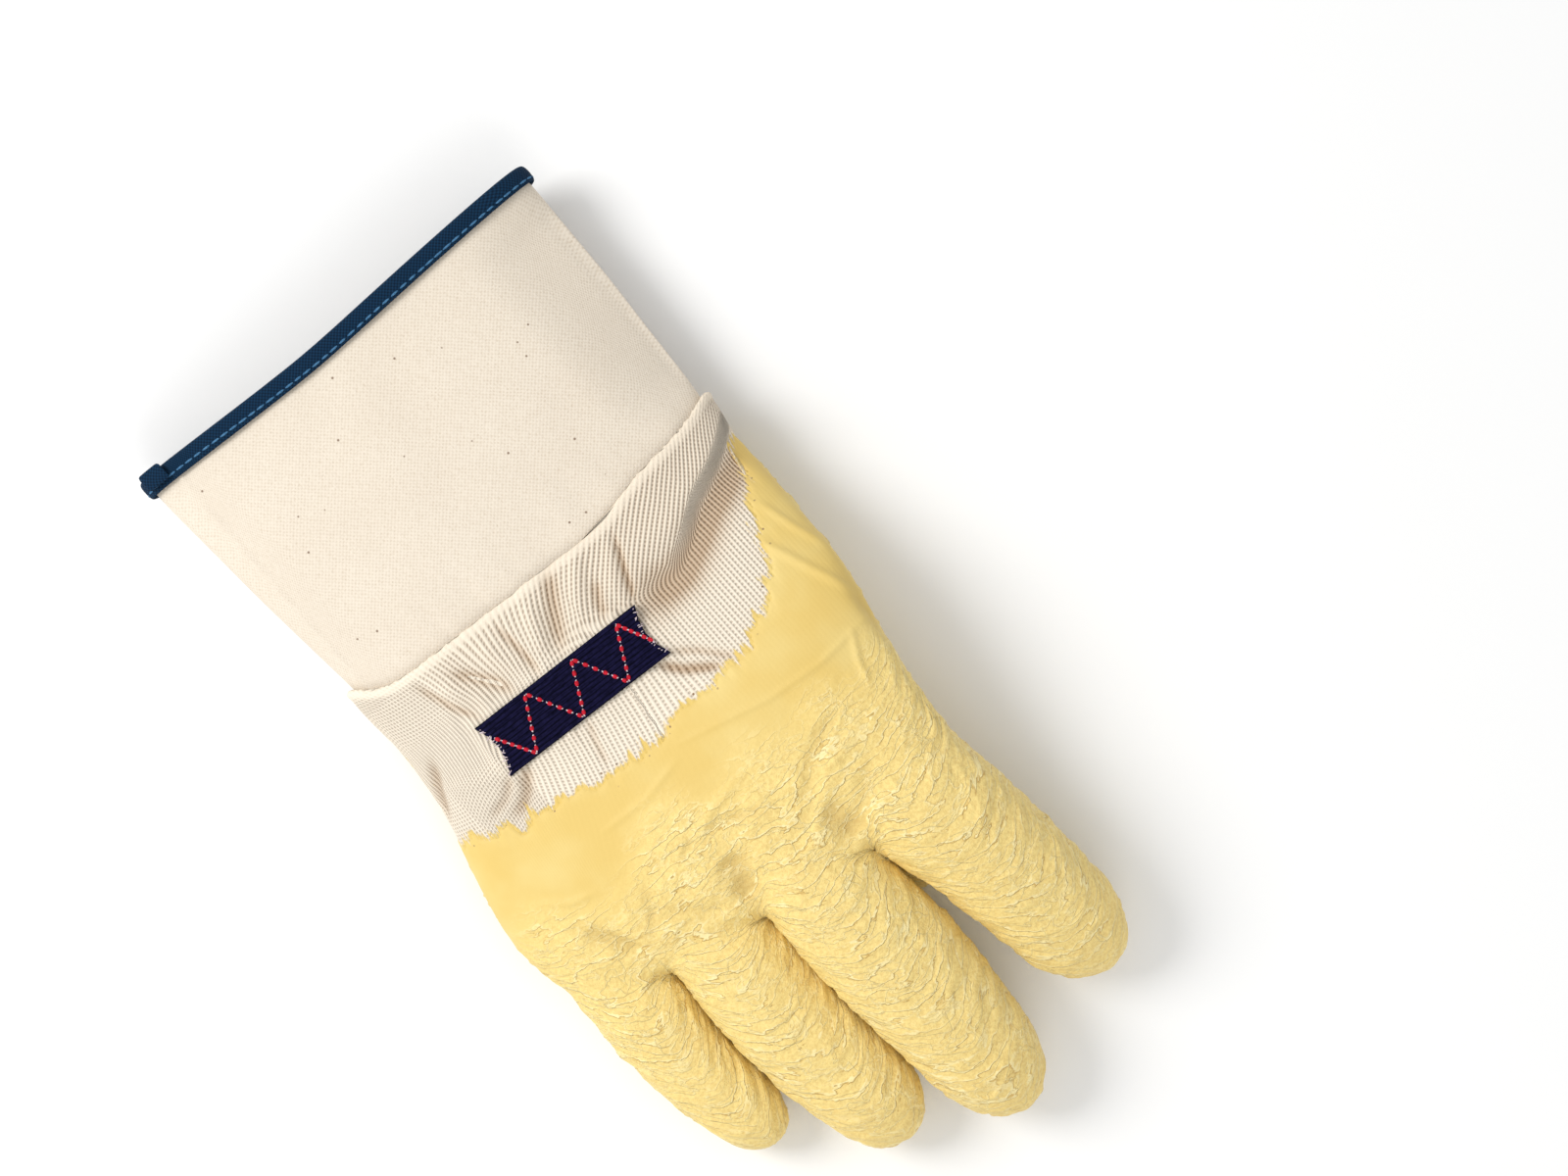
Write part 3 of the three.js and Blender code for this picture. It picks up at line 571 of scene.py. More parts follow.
def dress_hand(hand):
    """Stores what the finishes read, and gives the heights of the coat and of the bare knit."""
    mesh = hand.data
    skin = Skin(mesh)
    up = skin.normals[:, 2]
    back = skin.outer * smooth_step(up, 0, 0.5)
    lining = (1 - skin.outer) * smooth_step(-up, 0, 0.5)
    folds = fold_depth(skin.spots)
    fabric = (puckers(skin.spots) - folds) * (back - lining)
    rolled = ROLL_HEIGHT * np.exp(-((skin.from_seam - ROLL_PLACE) / ROLL_WIDTH) ** 2) * (skin.past_edge < 0)
    fabric += rolled * skin.outer
    wale, row = lay_wales(hand, skin)
    ragged = np.array(skin.past_edge)
    for i in np.nonzero((np.abs(ragged) < 12) & (skin.outer > 0.3))[0]:
        broad = noise.noise(Vector((wale[i] / 7, row[i] / 12, 2.5)))
        teeth = noise.noise(Vector((wale[i] / 2.2, row[i] / 10, 8.5)))
        ragged[i] += RAGGED_BROAD * broad + RAGGED_TEETH * teeth
    y = skin.spots[:, 1]
    along = y + ARC_DROP * np.abs(skin.normals[:, 0]) ** 1.5
    wander = np.array([noise.noise(Vector((x / 14, 5.5, 1))) for x in skin.spots[:, 0]])
    edge = y + SMOOTH_WANDER * wander
    rough = np.where(up > PALM_FACING, smooth_step(edge, SMOOTH_FROM, SMOOTH_TO), 1.0)
    rough = rough * smooth_step(skin.past_edge, 2, 8)
    relief = np.zeros(len(up))
    for i in np.nonzero((skin.outer > 0.5) & (rough > 0.02))[0]:
        relief[i] = rough[i] * crinkle(Vector(skin.spots[i]), along[i], up[i] < PALM_FACING)
    coat = COAT_FILM * smooth_step(ragged, 0.3, 4.0) + relief
    sunk = -KNIT_SINK * smooth_step(ragged, 3.2, 5.2)
    store(mesh, "past_edge", ragged)
    store(mesh, "outer", skin.outer)
    store(mesh, "from_seam", skin.from_seam)
    store(mesh, "crinkled", rough * skin.outer)
    store(mesh, "along", along)
    # painted shade for the folds: their depth, which the finishes read to darken the colour in them
    store(mesh, "painted_fold_shade", np.clip(folds * back / DEEP_CREASE, 0, 1))
    return fabric + (coat + COAT_LIFT) * skin.outer, fabric + sunk * skin.outer


def near_faces(start):
    """The faces that hang together with a first one."""
    found = {start}
    waiting = [start]
    while waiting:
        for edge in waiting.pop().edges:
            for face in edge.link_faces:
                if face not in found:
                    found.add(face)
                    waiting.append(face)
    return found


def keep_whole(shape):
    """Drops the faces that don't hang together with the highest one."""
    kept = near_faces(max(shape.faces, key=lambda face: face.calc_center_median().z))
    bmesh.ops.delete(shape, geom=[face for face in shape.faces if face not in kept], context="FACES")


def loops_of(edges):
    """Groups of edges that hang together, the longest group first."""
    left = set(edges)
    loops = []
    while left:
        waiting = [left.pop()]
        loop = []
        while waiting:
            edge = waiting.pop()
            loop.append(edge)
            for vertex in edge.verts:
                for other in vertex.link_edges:
                    if other in left:
                        left.remove(other)
                        waiting.append(other)
        loops.append(loop)
    return sorted(loops, key=lambda loop: -sum(edge.calc_length() for edge in loop))


EDGE_TUCK = 0.35               # how far the cut edge of the cloth dips under its own surface
COAT_FROM = 0.1                # where the coat's piece begins past the edge
KNIT_UNDER = 6.0               # how far the knit's piece goes on past the edge


def close_cut(shape):
    """Tucks the cut edge in and closes the wall along it, from the outer side to the inner side.
    What is left open at its ends is filled."""
    outer = shape.verts.layers.float["outer"]
    edges = [edge for edge in shape.edges if edge.is_boundary]
    for edge in edges:
        edge.smooth = False
    for vertex in {vertex for edge in edges for vertex in edge.verts}:
        vertex.co -= vertex.normal * (EDGE_TUCK * MM)
    sides = []
    for side in (True, False):
        chain = [e for e in edges if all((v[outer] > 0.5) == side for v in e.verts)]
        sides += loops_of(chain)[0]
    bmesh.ops.bridge_loops(shape, edges=sides)
    rest = [edge for edge in shape.edges if edge.is_boundary]
    bmesh.ops.holes_fill(shape, edges=rest, sides=0)
    bmesh.ops.triangulate(shape, faces=[face for face in shape.faces if len(face.verts) > 4])


def cut_from(hand, heights, name, keep_above, sign, finish):
    """The part of the hand on one side of the coat's edge, raised by heights. A point where two
    openings would touch is dropped, so that the cut runs round in one loop."""
    shape = bmesh.new()
    shape.from_mesh(hand.data)
    shape.verts.ensure_lookup_table()
    for vertex, height in zip(shape.verts, heights):
        vertex.co += vertex.normal * (height * MM)
        vertex.co.z = max(vertex.co.z, 0)
    layer = shape.verts.layers.float["past_edge"]
    gone = [v for v in shape.verts if sign * v[layer] < keep_above]
    bmesh.ops.delete(shape, geom=gone, context="VERTS")
    keep_whole(shape)
    while pinched := [v for v in shape.verts if sum(e.is_boundary for e in v.link_edges) > 2]:
        bmesh.ops.delete(shape, geom=pinched, context="VERTS")
        keep_whole(shape)
    close_cut(shape)
    return new_piece(name, shape, finish)


COAT_YELLOW = (0.78, 0.565, 0.17)
COAT_PALE = (0.82, 0.635, 0.235)
COAT_LIGHT = (0.94, 0.735, 0.275)
# painted highlight of the lit crests
COAT_CREST = (1.0, 0.87, 0.46)
# deep yellow of the grain, and of painted shade behind the crests and towards the fingertips
COAT_DEEP = (0.62, 0.37, 0.09)
# colour of painted shade in the coat's folds
COAT_SHADE = (0.42, 0.26, 0.07)
KNIT_CREAM = (0.95, 0.86, 0.72)
# tan of the fibres, and of painted shade where the ribs slant and in the folds
KNIT_TAN = (0.58, 0.425, 0.285)
KNIT_SHADE = (0.27, 0.165, 0.09)
SCALE_STEP = 4.4               # distance from crease to crease along a finger
SCALE_BEND = 0.42              # below 1, it draws the creases out across a finger
WALE = 1.22
COURSE = 1.05
TOOTH_REACH = 11               # from the longest to the shortest tooth of the coat's edge


def knit_pattern(finish):
    """Height of the ribbed jersey, its ladder of short dark gaps, and the grooves between its wales."""
    turn = finish.stored("wale") * (2 * math.pi / WALE)
    rib = turn.sine() * 0.5 + 0.5
    step = (finish.stored("row") * (2 * math.pi / COURSE)).sine() * 0.5 + 0.5
    groove = (1 - rib).ramp(0.5, 0.97)
    ladder = groove * step.ramp(0.3, 0.75)
    height = rib * 0.26 - ladder * 0.12 + step * rib * 0.04
    return height, ladder, groove


def crease_lines(finish, place, scale, width, detail):
    """1 on thin winding lines, falling to 0 beside them."""
    sockets = {"Vector": place, "Scale": scale, "Detail": detail, "Roughness": 0.45, "Distortion": 0.35}
    field = finish.add("ShaderNodeTexNoise", {}, sockets, "Fac")
    return 1 - (field - 0.5).size().ramp(0.0, width)


def scales(finish, bent, step, scale, wander, strong):
    """Arched folds across the fingers, one every step: the rise, its thin crest with a painted highlight,
    and the line behind it with painted shade.
    """
    flow = finish.stored("along") / step + finish.cloud(bent, scale, 5, 0.56) * wander
    climb = flow - flow.whole()
    rise = climb.ramp(0.0, 0.86) * (1 - climb.ramp(0.88, 1.0))
    # brow is the share of painted highlight on each crest, foot the share of painted shade behind it
    brow = climb.ramp(0.74, 0.85) * (1 - climb.ramp(0.89, 0.94))
    foot = climb.ramp(0.89, 0.94) * (1 - climb.ramp(0.97, 1.0))
    return rise * strong, brow * strong, foot * strong


def coat_yellow(finish, place):
    return finish.mix(finish.cloud(place, 0.045, 3).ramp(0.35, 0.7), COAT_YELLOW, COAT_PALE)


def bare_knit(finish):
    """1 where the knit is bare: long teeth along its ribs on the coat's ragged edge."""
    ribs = finish.vector(finish.stored("wale") * 0.8, finish.stored("row") * 0.14)
    strokes = finish.cloud(ribs, 1.0, 3, 0.6) * TOOTH_REACH - TOOTH_REACH / 2
    return 1 - (finish.stored("past_edge") + strokes).ramp(-0.9, 0.7)


def knit_colours(finish, place, ladder, groove):
    """Cream threads and brown grooves; painted shade deepens the grooves and tones the threads where the
    ribs lie slanting and in the folds.
    """
    rolled = 1 - finish.stored("from_seam").ramp(2.0, 3.4)
    painted_fold_shade = finish.stored("painted_fold_shade")
    slant = finish.stored("slant")
    fibre = finish.cloud(place, 2.2, 3, 0.7)
    cream = finish.mix(fibre.ramp(0.35, 0.8) * 0.2, KNIT_CREAM, KNIT_TAN)
    # painted shade: the threads turn tan where the ribs slant and in the folds
    toned = finish.mix((painted_fold_shade * 0.85 + slant * 0.12).smallest(0.9), cream, KNIT_TAN)
    # the ladder and the grooves are the knit's own gaps; the shares for slant and folds are painted shade in
    # the grooves
    dark = ladder * (0.36 - slant * 0.1) + groove * (slant * 0.34 + painted_fold_shade * 0.5 + 0.1)
    return finish.mix(dark.smallest(0.85) * (1 - rolled * 0.85), toned, KNIT_SHADE), fibre, rolled


def edge_specks(finish, place):
    """A few dark specks that cling to the coat's edge."""
    near = finish.cells(place, 0.9)
    pick = finish.parts(finish.cells(place, 0.9, "F1", "Color"))[0]
    band = 1 - finish.stored("past_edge").size().ramp(1.5, 3.5)
    return (1 - near.ramp(0.2, 0.38)) * pick.ramp(0.93, 0.94) * band


def coat_finish():
    """Latex over jersey: thin crests with a painted highlight, grain between them, painted shade behind the
    crests, towards the fingertips and in the folds, and the liner's knit on the unseen side.
    """
    finish = Finish("latex coat", 0.6, 0.4)
    place = finish.place()
    crinkled = finish.stored("crinkled")
    outer = finish.stored("outer").ramp(0.3, 0.7)
    x, _, z = finish.parts(place)
    bent = finish.vector(x * SCALE_BEND, finish.stored("along"), z * SCALE_BEND)
    strong = finish.cloud(place, 0.11, 2).ramp(0.34, 0.58) * 0.75 + 0.25
    broad = scales(finish, bent, SCALE_STEP, 0.085, 7.0, strong)
    small = scales(finish, bent, SCALE_STEP * 0.6, 0.19, 5.0, (1 - strong) * 0.5)
    rise, brow, foot = [first.largest(second) for first, second in zip(broad, small)]
    net = crease_lines(finish, place, 0.14, 0.02, 4) * finish.cloud(place, 0.07, 2).ramp(0.44, 0.62)
    narrow = crease_lines(finish, bent, 0.24, 0.022, 3).largest(net)
    # painted highlight: the share of each crest line that is lightened towards COAT_CREST
    crests = brow.largest(narrow * 0.6)
    fine = finish.cloud(place, 1.1, 4, 0.65)
    height, ladder, groove = knit_pattern(finish)
    bare = bare_knit(finish) * outer
    smooth = 1 - crinkled
    creases = (rise * 0.28 + narrow * 0.15) * crinkled
    finish.relief(creases + fine * (crinkled * 0.24 + 0.05) + height * (smooth * 0.04 + bare * 0.6))
    # painted shade towards the fingertips
    tips = finish.stored("along").ramp(222, 290)
    # grain mottling, plus painted shade behind each crest and towards the fingertips
    low = ((1 - fine.ramp(0.38, 0.60)) * 0.30 + foot * 0.5 + tips * 0.1) * crinkled
    yellow = finish.mix(crinkled, coat_yellow(finish, place), COAT_LIGHT)
    # grain and painted shade: the yellow darkened towards COAT_DEEP by that share
    grain_and_shade = finish.mix(low, yellow, COAT_DEEP)
    # painted shade in the folds: the coat darkens towards COAT_SHADE where they are deep
    painted_fold_shade = finish.mix(finish.stored("painted_fold_shade") * 0.4, grain_and_shade, COAT_SHADE)
    # painted highlight on the crests
    crested = finish.mix(crests * crinkled * 0.85, painted_fold_shade, COAT_CREST)
    knit = knit_colours(finish, place, ladder, groove)[0]
    lining = finish.mix(ladder * 0.6, KNIT_CREAM, KNIT_SHADE)
    edged = finish.mix(edge_specks(finish, place), finish.mix(bare, crested, knit), KNIT_SHADE)
    finish.colour(finish.mix(outer, lining, edged))
    return finish


def knit_finish():
    """Ribbed jersey, stained by the teeth of the coat along its ribs."""
    finish = Finish("jersey", 0.9)
    place = finish.place()
    height, ladder, groove = knit_pattern(finish)
    stained = (1 - bare_knit(finish)) * finish.stored("outer")
    knit, fibre, rolled = knit_colours(finish, place, ladder, groove)
    edged = finish.mix(stained, knit, coat_yellow(finish, place))
    finish.colour(finish.mix(edge_specks(finish, place), edged, KNIT_SHADE))
    finish.relief((height * (1 - rolled * 0.7) + fibre * 0.05) * (1 - stained * 0.6))
    return finish


# Directions of the knit's ribs: nearly straight above the fold that leaves the band's corner,
# slanting below it. The slants are millimetres across for each millimetre along.
LEANS = [
    {"x": -66, "fold": 84, "above": 0.0, "below": 0.9},
    {"x": -51, "fold": 91, "above": 0.0, "below": 1.0},
    {"x": -40, "fold": 95, "above": 0.0, "below": 1.1},
    {"x": -32, "fold": 100, "above": 0.0, "below": 1.1},
    {"x": -24, "fold": 104, "above": 0.0, "below": 1.05},
    {"x": -11, "fold": 104, "above": 0.0, "below": 0.95},
    {"x": 0, "fold": 103, "above": 0.1, "below": 0.7},
    {"x": 9, "fold": 102, "above": 0.18, "below": 0.5},
    {"x": 20, "fold": 101, "above": 0.25, "below": 0.2},
    {"x": 32, "fold": 101, "above": 0.3, "below": -0.05},
    {"x": 45, "fold": 101, "above": 0.4, "below": -0.15},
    {"x": 66, "fold": 101, "above": 0.2, "below": -0.05},
]
LEAN_FROM = (-11, 104)         # the band's corner, where straight and slanting ribs agree
SIDE_BINS = 48


def unrolled(skin):
    """Distance across the glove, on round its sides and back under it, in millimetres."""
    x, y, z = skin.spots.T
    steps = np.linspace(y.min(), y.max(), SIDE_BINS + 1)
    bins = np.clip(np.digitize(y, steps) - 1, 0, SIDE_BINS - 1)
    shown = skin.outer > 0.5
    rows = []
    for i in range(SIDE_BINS):
        here = shown & (bins == i)
        rows.append((x[here].min(), x[here].max(), z[here].max()))
    middles = (steps[1:] + steps[:-1]) / 2
    left, right, top = [np.interp(y, middles, column) for column in np.array(rows).T]
    middle, half = (left + right) / 2, (right - left) / 2
    off = np.minimum(np.abs(x - middle), half)
    under = np.where(skin.normals[:, 2] < 0, 2 * (half - off), 0)
    drop = np.maximum(top - z, 0)
    return x + np.sign(x - middle) * (under + 0.9 * drop ** 2 / (drop + 9))


def lay_wales(hand, skin):
    """Stores where each point lies across and along the knit's ribs, and how far they slant."""
    across = unrolled(skin)
    y = skin.spots[:, 1]
    places = [lean["x"] for lean in LEANS]
    fold, above, below = [
        np.interp(across, places, [lean[key] for lean in LEANS]) for key in ("fold", "above", "below")
    ]
    soft = 2.4 + 7 * smooth_step(across, -8, 12)
    off, up = across - LEAN_FROM[0], y - LEAN_FROM[1]
    under = smooth_step(fold - y, -soft, soft)
    wale = np.zeros(len(y))
    row = np.zeros(len(y))
    for lean, share in ((above, 1 - under), (below, under)):
        length = np.sqrt(1 + lean ** 2)
        wale += share * (off - lean * up) / length
        row += share * (off * lean + up) / length
    store(hand.data, "wale", wale)
    store(hand.data, "row", row)
    # the knit's finish reads slant as a share of painted shade in its grooves
    slant = np.clip(below, 0, 1) * smooth_step(fold - y, 0, 3)
    slant = np.maximum(slant, 0.6 * smooth_step(fold - y, 0, 6)) * (1 - smooth_step(across, 36, 48))
    store(hand.data, "slant", slant)
    return wale, row


FLAT_POWER = 2.35


def around(spots, half_width, half_height, middle):
    """Distance round a flat tube from the middle of its back, in millimetres. On its two flat sides
    this follows x alone."""
    turns = np.linspace(0, math.pi, 241)
    corner = 2 / FLAT_POWER
    x = half_width * np.abs(np.sin(turns)) ** corner
    z = half_height * np.sign(np.cos(turns)) * np.abs(np.cos(turns)) ** corner
    run = np.concatenate([[0], np.cumsum(np.hypot(np.diff(x), np.diff(z)))])
    seen = np.arctan2(x / half_width, z / half_height)
    off = np.abs(spots[:, 0])
    rise = spots[:, 2] - middle
    by_angle = np.interp(np.arctan2(off / half_width, rise / half_height), seen, run)
    quarter = len(turns) // 2 + 1
    by_width = np.interp(np.minimum(off, half_width), x[:quarter], run[:quarter])
    by_width = np.where(rise > 0, by_width, run[-1] - by_width)
    side = smooth_step(off / half_width, 0.72, 0.9)
    return np.sign(spots[:, 0]) * (by_width * (1 - side) + by_angle * side)


CANVAS_THREAD = 0.62
TAPE_THREAD = 0.55


def canvas_finish():
    """Unbleached canvas: a fine uneven weave with a few specks of husk."""
    finish = Finish("canvas", 0.85)
    place = finish.place()
    warp = finish.cloud(place, 0.5, 2)
    across = finish.stored("across") + warp * 0.35
    along = finish.stored("along") + warp * 0.35
    weft = (across * (math.pi / CANVAS_THREAD)).sine()
    end = (along * (math.pi / CANVAS_THREAD)).sine()
    wefts = finish.cloud(finish.vector(across * 0.5, along * 2.6), 1.0, 2)
    ends = finish.cloud(finish.vector(across * 2.6, along * 0.4), 1.0, 2)
    weave = weft * end * 0.3 + (wefts + ends - 1) * 0.8
    tone = finish.cloud(place, 0.05, 3)
    cotton = finish.mix(tone.ramp(0.2, 0.8), (0.82, 0.735, 0.62), (0.85, 0.77, 0.655))
    threads = finish.mix(weave.ramp(-0.9, 0.3), (0.62, 0.52, 0.40), cotton)
    speck_size = finish.cells(place, 0.2)
    pick = finish.cells(place, 0.2, "F1", "Color")
    speck = (1 - speck_size.ramp(0.04, 0.09)) * finish.parts(pick)[0].ramp(0.6, 0.64)
    finish.colour(finish.mix(speck * 0.8, threads, (0.16, 0.08, 0.04)))
    finish.relief(weave * 0.09)
    return finish


def tape_finish():
    """Navy tape, closely woven, with a little pale lint."""
    finish = Finish("binding tape", 0.85, 0.15)
    place = finish.place()
    across = finish.stored("across")
    along = finish.stored("along")
    weave = (across * (math.pi / TAPE_THREAD)).sine() * (along * (math.pi / TAPE_THREAD)).sine()
    lint = finish.cloud(place, 1.6, 3, 0.7)
    blue = finish.mix(weave.ramp(-0.8, 0.8), (0.001, 0.011, 0.030), (0.004, 0.032, 0.080))
    finish.colour(finish.mix(lint.ramp(0.55, 0.85) * 0.22, blue, (0.05, 0.12, 0.20)))
    finish.relief(weave * 0.09 + lint * 0.05)
    return finish


def elastic_finish():
    """Navy webbing: ribs along its length, streaked by the rubber threads."""
    finish = Finish("elastic", 0.9, 0.05)
    place = finish.place()
    along = finish.stored("along")
    across = finish.stored("across")
    streak = finish.cloud(finish.vector(along * 0.35, across * 2.2), 1.0, 3, 0.6)
    rib = (across * (math.pi / RIB)).sine().size()
    yarn = ((along * 5.2) + (across * 2.4).sine()).sine()
    navy = finish.mix(streak.ramp(0.3, 0.7), (0.003, 0.003, 0.013), (0.011, 0.010, 0.045))
    ribbed = finish.mix(rib.ramp(0.0, 0.55), (0.001, 0.001, 0.004), navy)
    lint = finish.cloud(place, 1.8, 3, 0.7)
    finish.colour(finish.mix(lint.ramp(0.66, 0.85) * 0.15, ribbed, (0.05, 0.05, 0.13)))
    finish.relief(yarn * 0.05 + streak * 0.1)
    return finish


def thread_finish(name, dark, light):
    finish = Finish(name, 0.7)
    twist = finish.cloud(finish.place((1, 1, 3)), 2.4, 2)
    finish.colour(finish.mix(twist.ramp(0.35, 0.65), dark, light))
    finish.relief(twist * 0.08)
    return finish


FLAT_ENOUGH = math.radians(60)  # two triangles that bend less than this become one quad


def join_to_quads(shape):
    bmesh.ops.join_triangles(
        shape, faces=shape.faces, angle_face_threshold=FLAT_ENOUGH, angle_shape_threshold=FLAT_ENOUGH
    )


def refine(shape, levels, name, finish):
    """Piece of a copied node: its triangles joined to quads and subdivided."""
    join_to_quads(shape)
    piece = new_piece(name, shape, finish)
    round_off = piece.modifiers.new("round", "SUBSURF")
    round_off.levels = levels
    round_off.render_levels = levels
    settle(piece)
    return piece


CUFF_HALF_WIDTH, CUFF_HALF_HEIGHT, CUFF_MIDDLE = 65.0, 14.0, 15.0


def round_cuff(spots):
    return around(spots, CUFF_HALF_WIDTH, CUFF_HALF_HEIGHT, CUFF_MIDDLE)


def lay_weave(piece):
    """Stores where each point lies round the cuff and along it."""
    spots = on_glove(points_of(piece.data))
    store(piece.data, "across", round_cuff(spots))
    store(piece.data, "along", spots[:, 1])


SIDE_SEAM = 62.0               # distance of the side seam from the middle of the back
SIDE_RIDGE = 0.5
SIDE_DROP = 3.6                # how far the canvas sags beside its left edge
CUFF_WAVE = 0.7                # broad waves of the canvas, and small ones at the knit's seam
CUFF_PUCKER = 0.6


def make_cuff(finish):
    """The canvas tube with soft waves, puckers at the seam and the ridge of its side seam."""
    cuff = refine(welded("canvas_cuff"), 3, "canvas_cuff_cloth", finish)
    mesh = cuff.data
    points = points_of(mesh)
    normals = normals_of(mesh)
    spots = on_glove(points)
    waves = []
    for x, y, z in spots:
        broad = noise.noise(Vector((x / 16, y / 26, z / 20 + 3)))
        pucker = noise.noise(Vector((x / 5, y / 30, z / 9 + 9))) * math.exp(-((y - SEAM_Y) / 14) ** 2)
        waves.append(CUFF_WAVE * broad + CUFF_PUCKER * pucker)
    side = np.exp(-((round_cuff(spots) - SIDE_SEAM) / 0.8) ** 2)
    lift = 0.6 * np.array(waves) - 0.3 + SIDE_RIDGE * side
    points = points + normals * (lift * MM)[:, None]
    x, y, z = spots.T
    length = smooth_step(y, 4, 18) * (1 - smooth_step(y, 64, 80))
    points[:, 2] -= SIDE_DROP * MM * smooth_step(-x, 36, 58) * smooth_step(z, 15, 22) * length
    move_points(mesh, points)
    lay_weave(cuff)
    return cuff


def stitch(shape, start, end, radius, flat=0.7):
    """A short thread lying from one point to another."""
    run = end - start
    turn = run.to_track_quat("X", "Z").to_matrix().to_4x4()
    size = Matrix.Diagonal((run.length / 2 + radius, radius, radius * flat, 1))
    matrix = Matrix.Translation((start + end) / 2) @ turn @ size
    bmesh.ops.create_uvsphere(shape, u_segments=10, v_segments=6, radius=1, matrix=matrix)


def tree_of(piece):
    shape = bmesh.new()
    shape.from_mesh(piece.data)
    tree = BVHTree.FromBMesh(shape)
    shape.free()
    return tree


RIB = 1.27                     # width of a rib of the band
RIB_HEIGHT = 0.28
BAND_CUTS = 8
ZIGZAG = [(-8, 114.5), (-3.7, 105), (3.5, 118.3), (10.7, 103.8), (18, 117.2), (25.5, 102.3), (33.3, 115.8),
          (39, 105.5)]
LEG_DASHES = 6
DASH_HALF = 0.28               # half the length of a red stitch between its round ends
DASH_RADIUS = 0.56
TIP_FROM, TIP_TO = 0.72, 0.78  # where a stitch's white end lies
TIP_RADIUS = 0.30
THREAD_FLAT = 0.6
THREAD_LIFT = 0.1
FRAYS = 16                     # loose thread ends at each end of the band
FRAY_IN = 2.0                  # how far the band's ends are drawn in at their middle
FRAY_RADIUS = 0.16


def off_band(along, across):
    """The glove's x and y of a place on the band."""
    x = BAND_CENTRE[0] + along * math.cos(BAND_TURN) - across * math.sin(BAND_TURN)
    y = BAND_CENTRE[1] + along * math.sin(BAND_TURN) + across * math.cos(BAND_TURN)
    return x, y


def make_band(finish):
    """The elastic webbing with its ribs."""
    shape = welded("elastic_band")
    join_to_quads(shape)
    bmesh.ops.subdivide_edges(shape, edges=shape.edges, cuts=BAND_CUTS, use_grid_fill=True)
    band = new_piece("elastic_webbing", shape, finish)
    mesh = band.data
    points = points_of(mesh)
    normals = normals_of(mesh)
    along, across = band_place(on_glove(points))
    rib = np.abs(np.sin(across * math.pi / RIB))
    waves = np.array([noise.noise(Vector((a / 1.6, b / 5, 0))) for a, b in zip(along, across)])
    upper = smooth_step(normals[:, 2], 0.2, 0.7)
    lift = (RIB_HEIGHT * rib + 0.16 * waves - 0.1) * upper
    move_points(mesh, points + normals * (lift * MM)[:, None])
    store(mesh, "along", along)
    store(mesh, "across", across)
    return band


def make_zigzag(band, red_finish, white_finish):
    """The zigzag of short red stitches with white ends that holds the band."""
    tree = tree_of(band)
    red, white = bmesh.new(), bmesh.new()

    def on_band(x, y):
        hit = tree.ray_cast(in_frame(x, y, 60), Vector((0, 0, -1)))[0]
        hit = hit or tree.find_nearest(in_frame(x, y, 40))[0]
        return hit + Vector((0, 0, THREAD_LIFT * MM))

    for (x0, y0), (x1, y1) in zip(ZIGZAG, ZIGZAG[1:]):
        leg = Vector((x1 - x0, y1 - y0))
        for i in range(LEG_DASHES):
            centre = Vector((x0, y0)) + leg * ((i + 0.5) / LEG_DASHES)
            step = leg.normalized()
            ends = [on_band(*(centre + step * reach)) for reach in (-DASH_HALF, DASH_HALF)]
            stitch(red, *ends, DASH_RADIUS * MM, THREAD_FLAT)
            for side in (-1, 1):
                ends = [on_band(*(centre + step * side * reach)) for reach in (TIP_FROM, TIP_TO)]
                stitch(white, *ends, TIP_RADIUS * MM, THREAD_FLAT)
    dice = random.Random(4)
    for side in (-1, 1):
        for i in range(FRAYS):
            across = (i + dice.uniform(0.1, 0.9)) / FRAYS - 0.5
            along = side * (BAND_LENGTH / 2 - FRAY_IN * (1 - 4 * across ** 2) - 0.3)
            start = on_band(*off_band(along - side * 0.5, across * (BAND_WIDTH - 1)))
            reach = Vector((side * dice.uniform(0.6, 1.5), dice.uniform(-0.8, 0.8), dice.uniform(-0.7, 0.1)))
            stitch(white, start, start + reach * MM, FRAY_RADIUS * MM)
    return new_piece("zigzag_red", red, red_finish), new_piece("white_threads", white, white_finish)


STITCH_IN = 1.2                # from the tape's edge to its row of stitches
STITCH_SLANT = 6               # how much the tape's edge runs down to the little finger's side
STITCH_PITCH = 3.0
STITCH_LENGTH = 2.0
STITCH_RADIUS = 0.3
STITCH_LOOKS = 720             # directions round the cuff in which the row is looked up


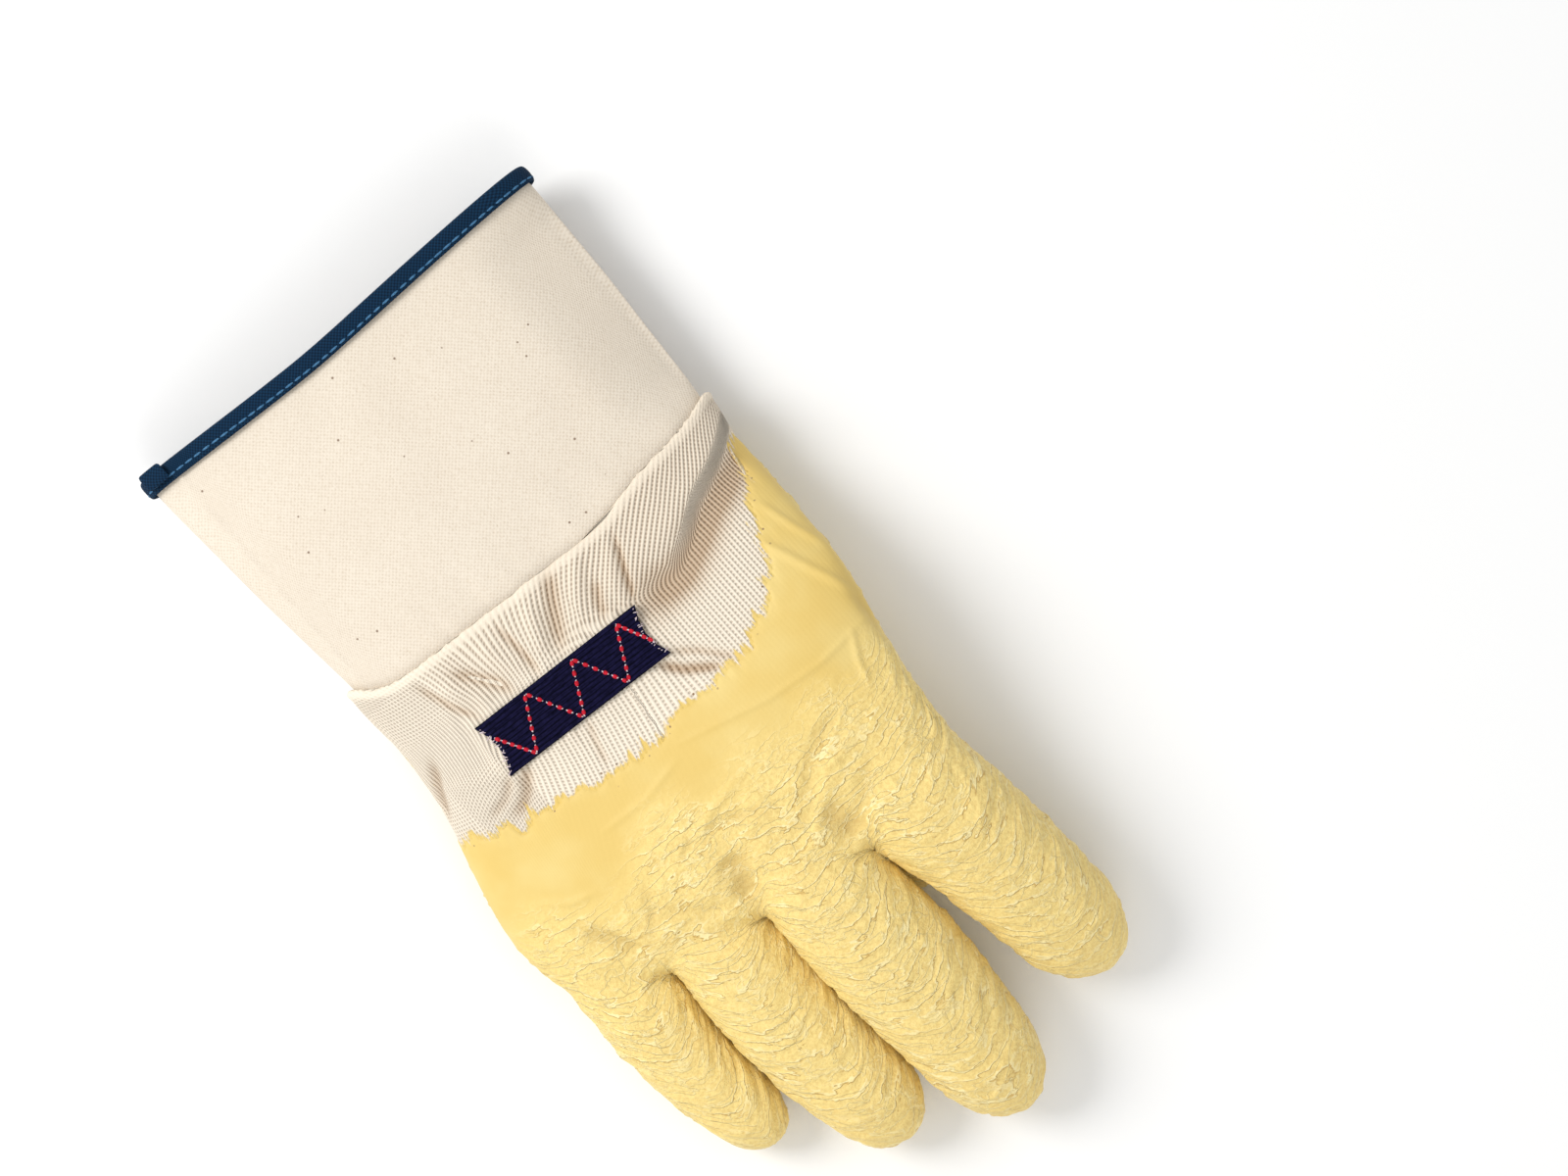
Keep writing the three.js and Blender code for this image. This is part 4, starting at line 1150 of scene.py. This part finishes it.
def make_tape_stitches(tape, finish):
    """The row of stitches that holds the tape, just inside its edge, all round the cuff."""
    tree = tree_of(tape)
    shape = bmesh.new()
    low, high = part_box("cuff_binding")
    centre = (low + high) / 2
    places = []
    for i in range(STITCH_LOOKS):
        angle = 2 * math.pi * i / STITCH_LOOKS
        ray = Vector((math.cos(angle) * (high.x - low.x), 0, math.sin(angle) * (high.z - low.z)))
        share = (ray.x / (high.x - low.x) - 0.08) / 0.92
        slant = STITCH_SLANT * max(share, 0) ** 1.3
        y = ORIGIN.y + (TAPE_WIDTH - STITCH_IN - slant) * MM
        start = Vector((centre.x, y, centre.z)) + ray
        hit = tree.ray_cast(start, -ray.normalized())[0]
        if hit:
            places.append(hit)
    walked, last = 0.0, places[0]
    pitch, dash = STITCH_PITCH * MM, STITCH_LENGTH * MM
    begin = None
    for place in [*places[1:], places[0]]:
        before = walked
        walked += (place - last).length
        if begin is None and before % pitch < dash:
            begin = last
        if begin is not None and walked % pitch >= dash:
            stitch(shape, begin, place, STITCH_RADIUS * MM)
            begin = None
        last = place
    return new_piece("tape_stitches", shape, finish)


FLOOR_DROP = 0.0002            # in metres, as is the reach
FLOOR_REACH = 3


def make_floor():
    """A pale plain table top."""
    shape = bmesh.new()
    drop = Matrix.Translation((0, 0, -FLOOR_DROP))
    bmesh.ops.create_grid(shape, x_segments=1, y_segments=1, size=FLOOR_REACH, matrix=drop)
    finish = Finish("table", 0.9)
    grain = finish.cloud(finish.place(), 0.02, 2)
    finish.colour(finish.mix(grain, (0.97, 0.98, 0.99), (0.98, 0.99, 1.0)))
    floor = new_piece("floor", shape, finish, smooth=False)


make_camera()
make_studio()
make_floor()

hand = whole_hand()
coated, bare = dress_hand(hand)
coat = cut_from(hand, coated, "latex_coat", COAT_FROM, 1, coat_finish())
knit = cut_from(hand, bare, "ribbed_knit", -KNIT_UNDER, -1, knit_finish())
bpy.data.objects.remove(hand)

tape_look = tape_finish()
cuff = make_cuff(canvas_finish())
tape = refine(welded("cuff_binding"), 2, "binding_tape", tape_look)
lay_weave(tape)
tape_lap = refine(welded("tape_end"), 2, "binding_lap", tape_look)
lay_weave(tape_lap)
band = make_band(elastic_finish())
zigzag, white_threads = make_zigzag(
    band,
    thread_finish("red thread", (0.42, 0.004, 0.016), (0.68, 0.012, 0.035)),
    thread_finish("white thread", (0.50, 0.38, 0.42), (0.80, 0.72, 0.74)),
)
stitches = make_tape_stitches(tape, thread_finish("blue thread", (0.03, 0.12, 0.25), (0.08, 0.22, 0.40)))

for piece, slot, nodes in (
    (coat, "latex", ["latex_shell"]),
    (knit, "jersey", ["knit_back"]),
    (cuff, "canvas", ["canvas_cuff"]),
    (tape, "binding", ["cuff_binding"]),
    (tape_lap, "binding", ["tape_end"]),
    (band, "elastic", ["elastic_band"]),
    (zigzag, "elastic", []),
    (white_threads, "elastic", []),
    (stitches, "binding", []),
):
    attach(piece, "root")
    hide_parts(*nodes)
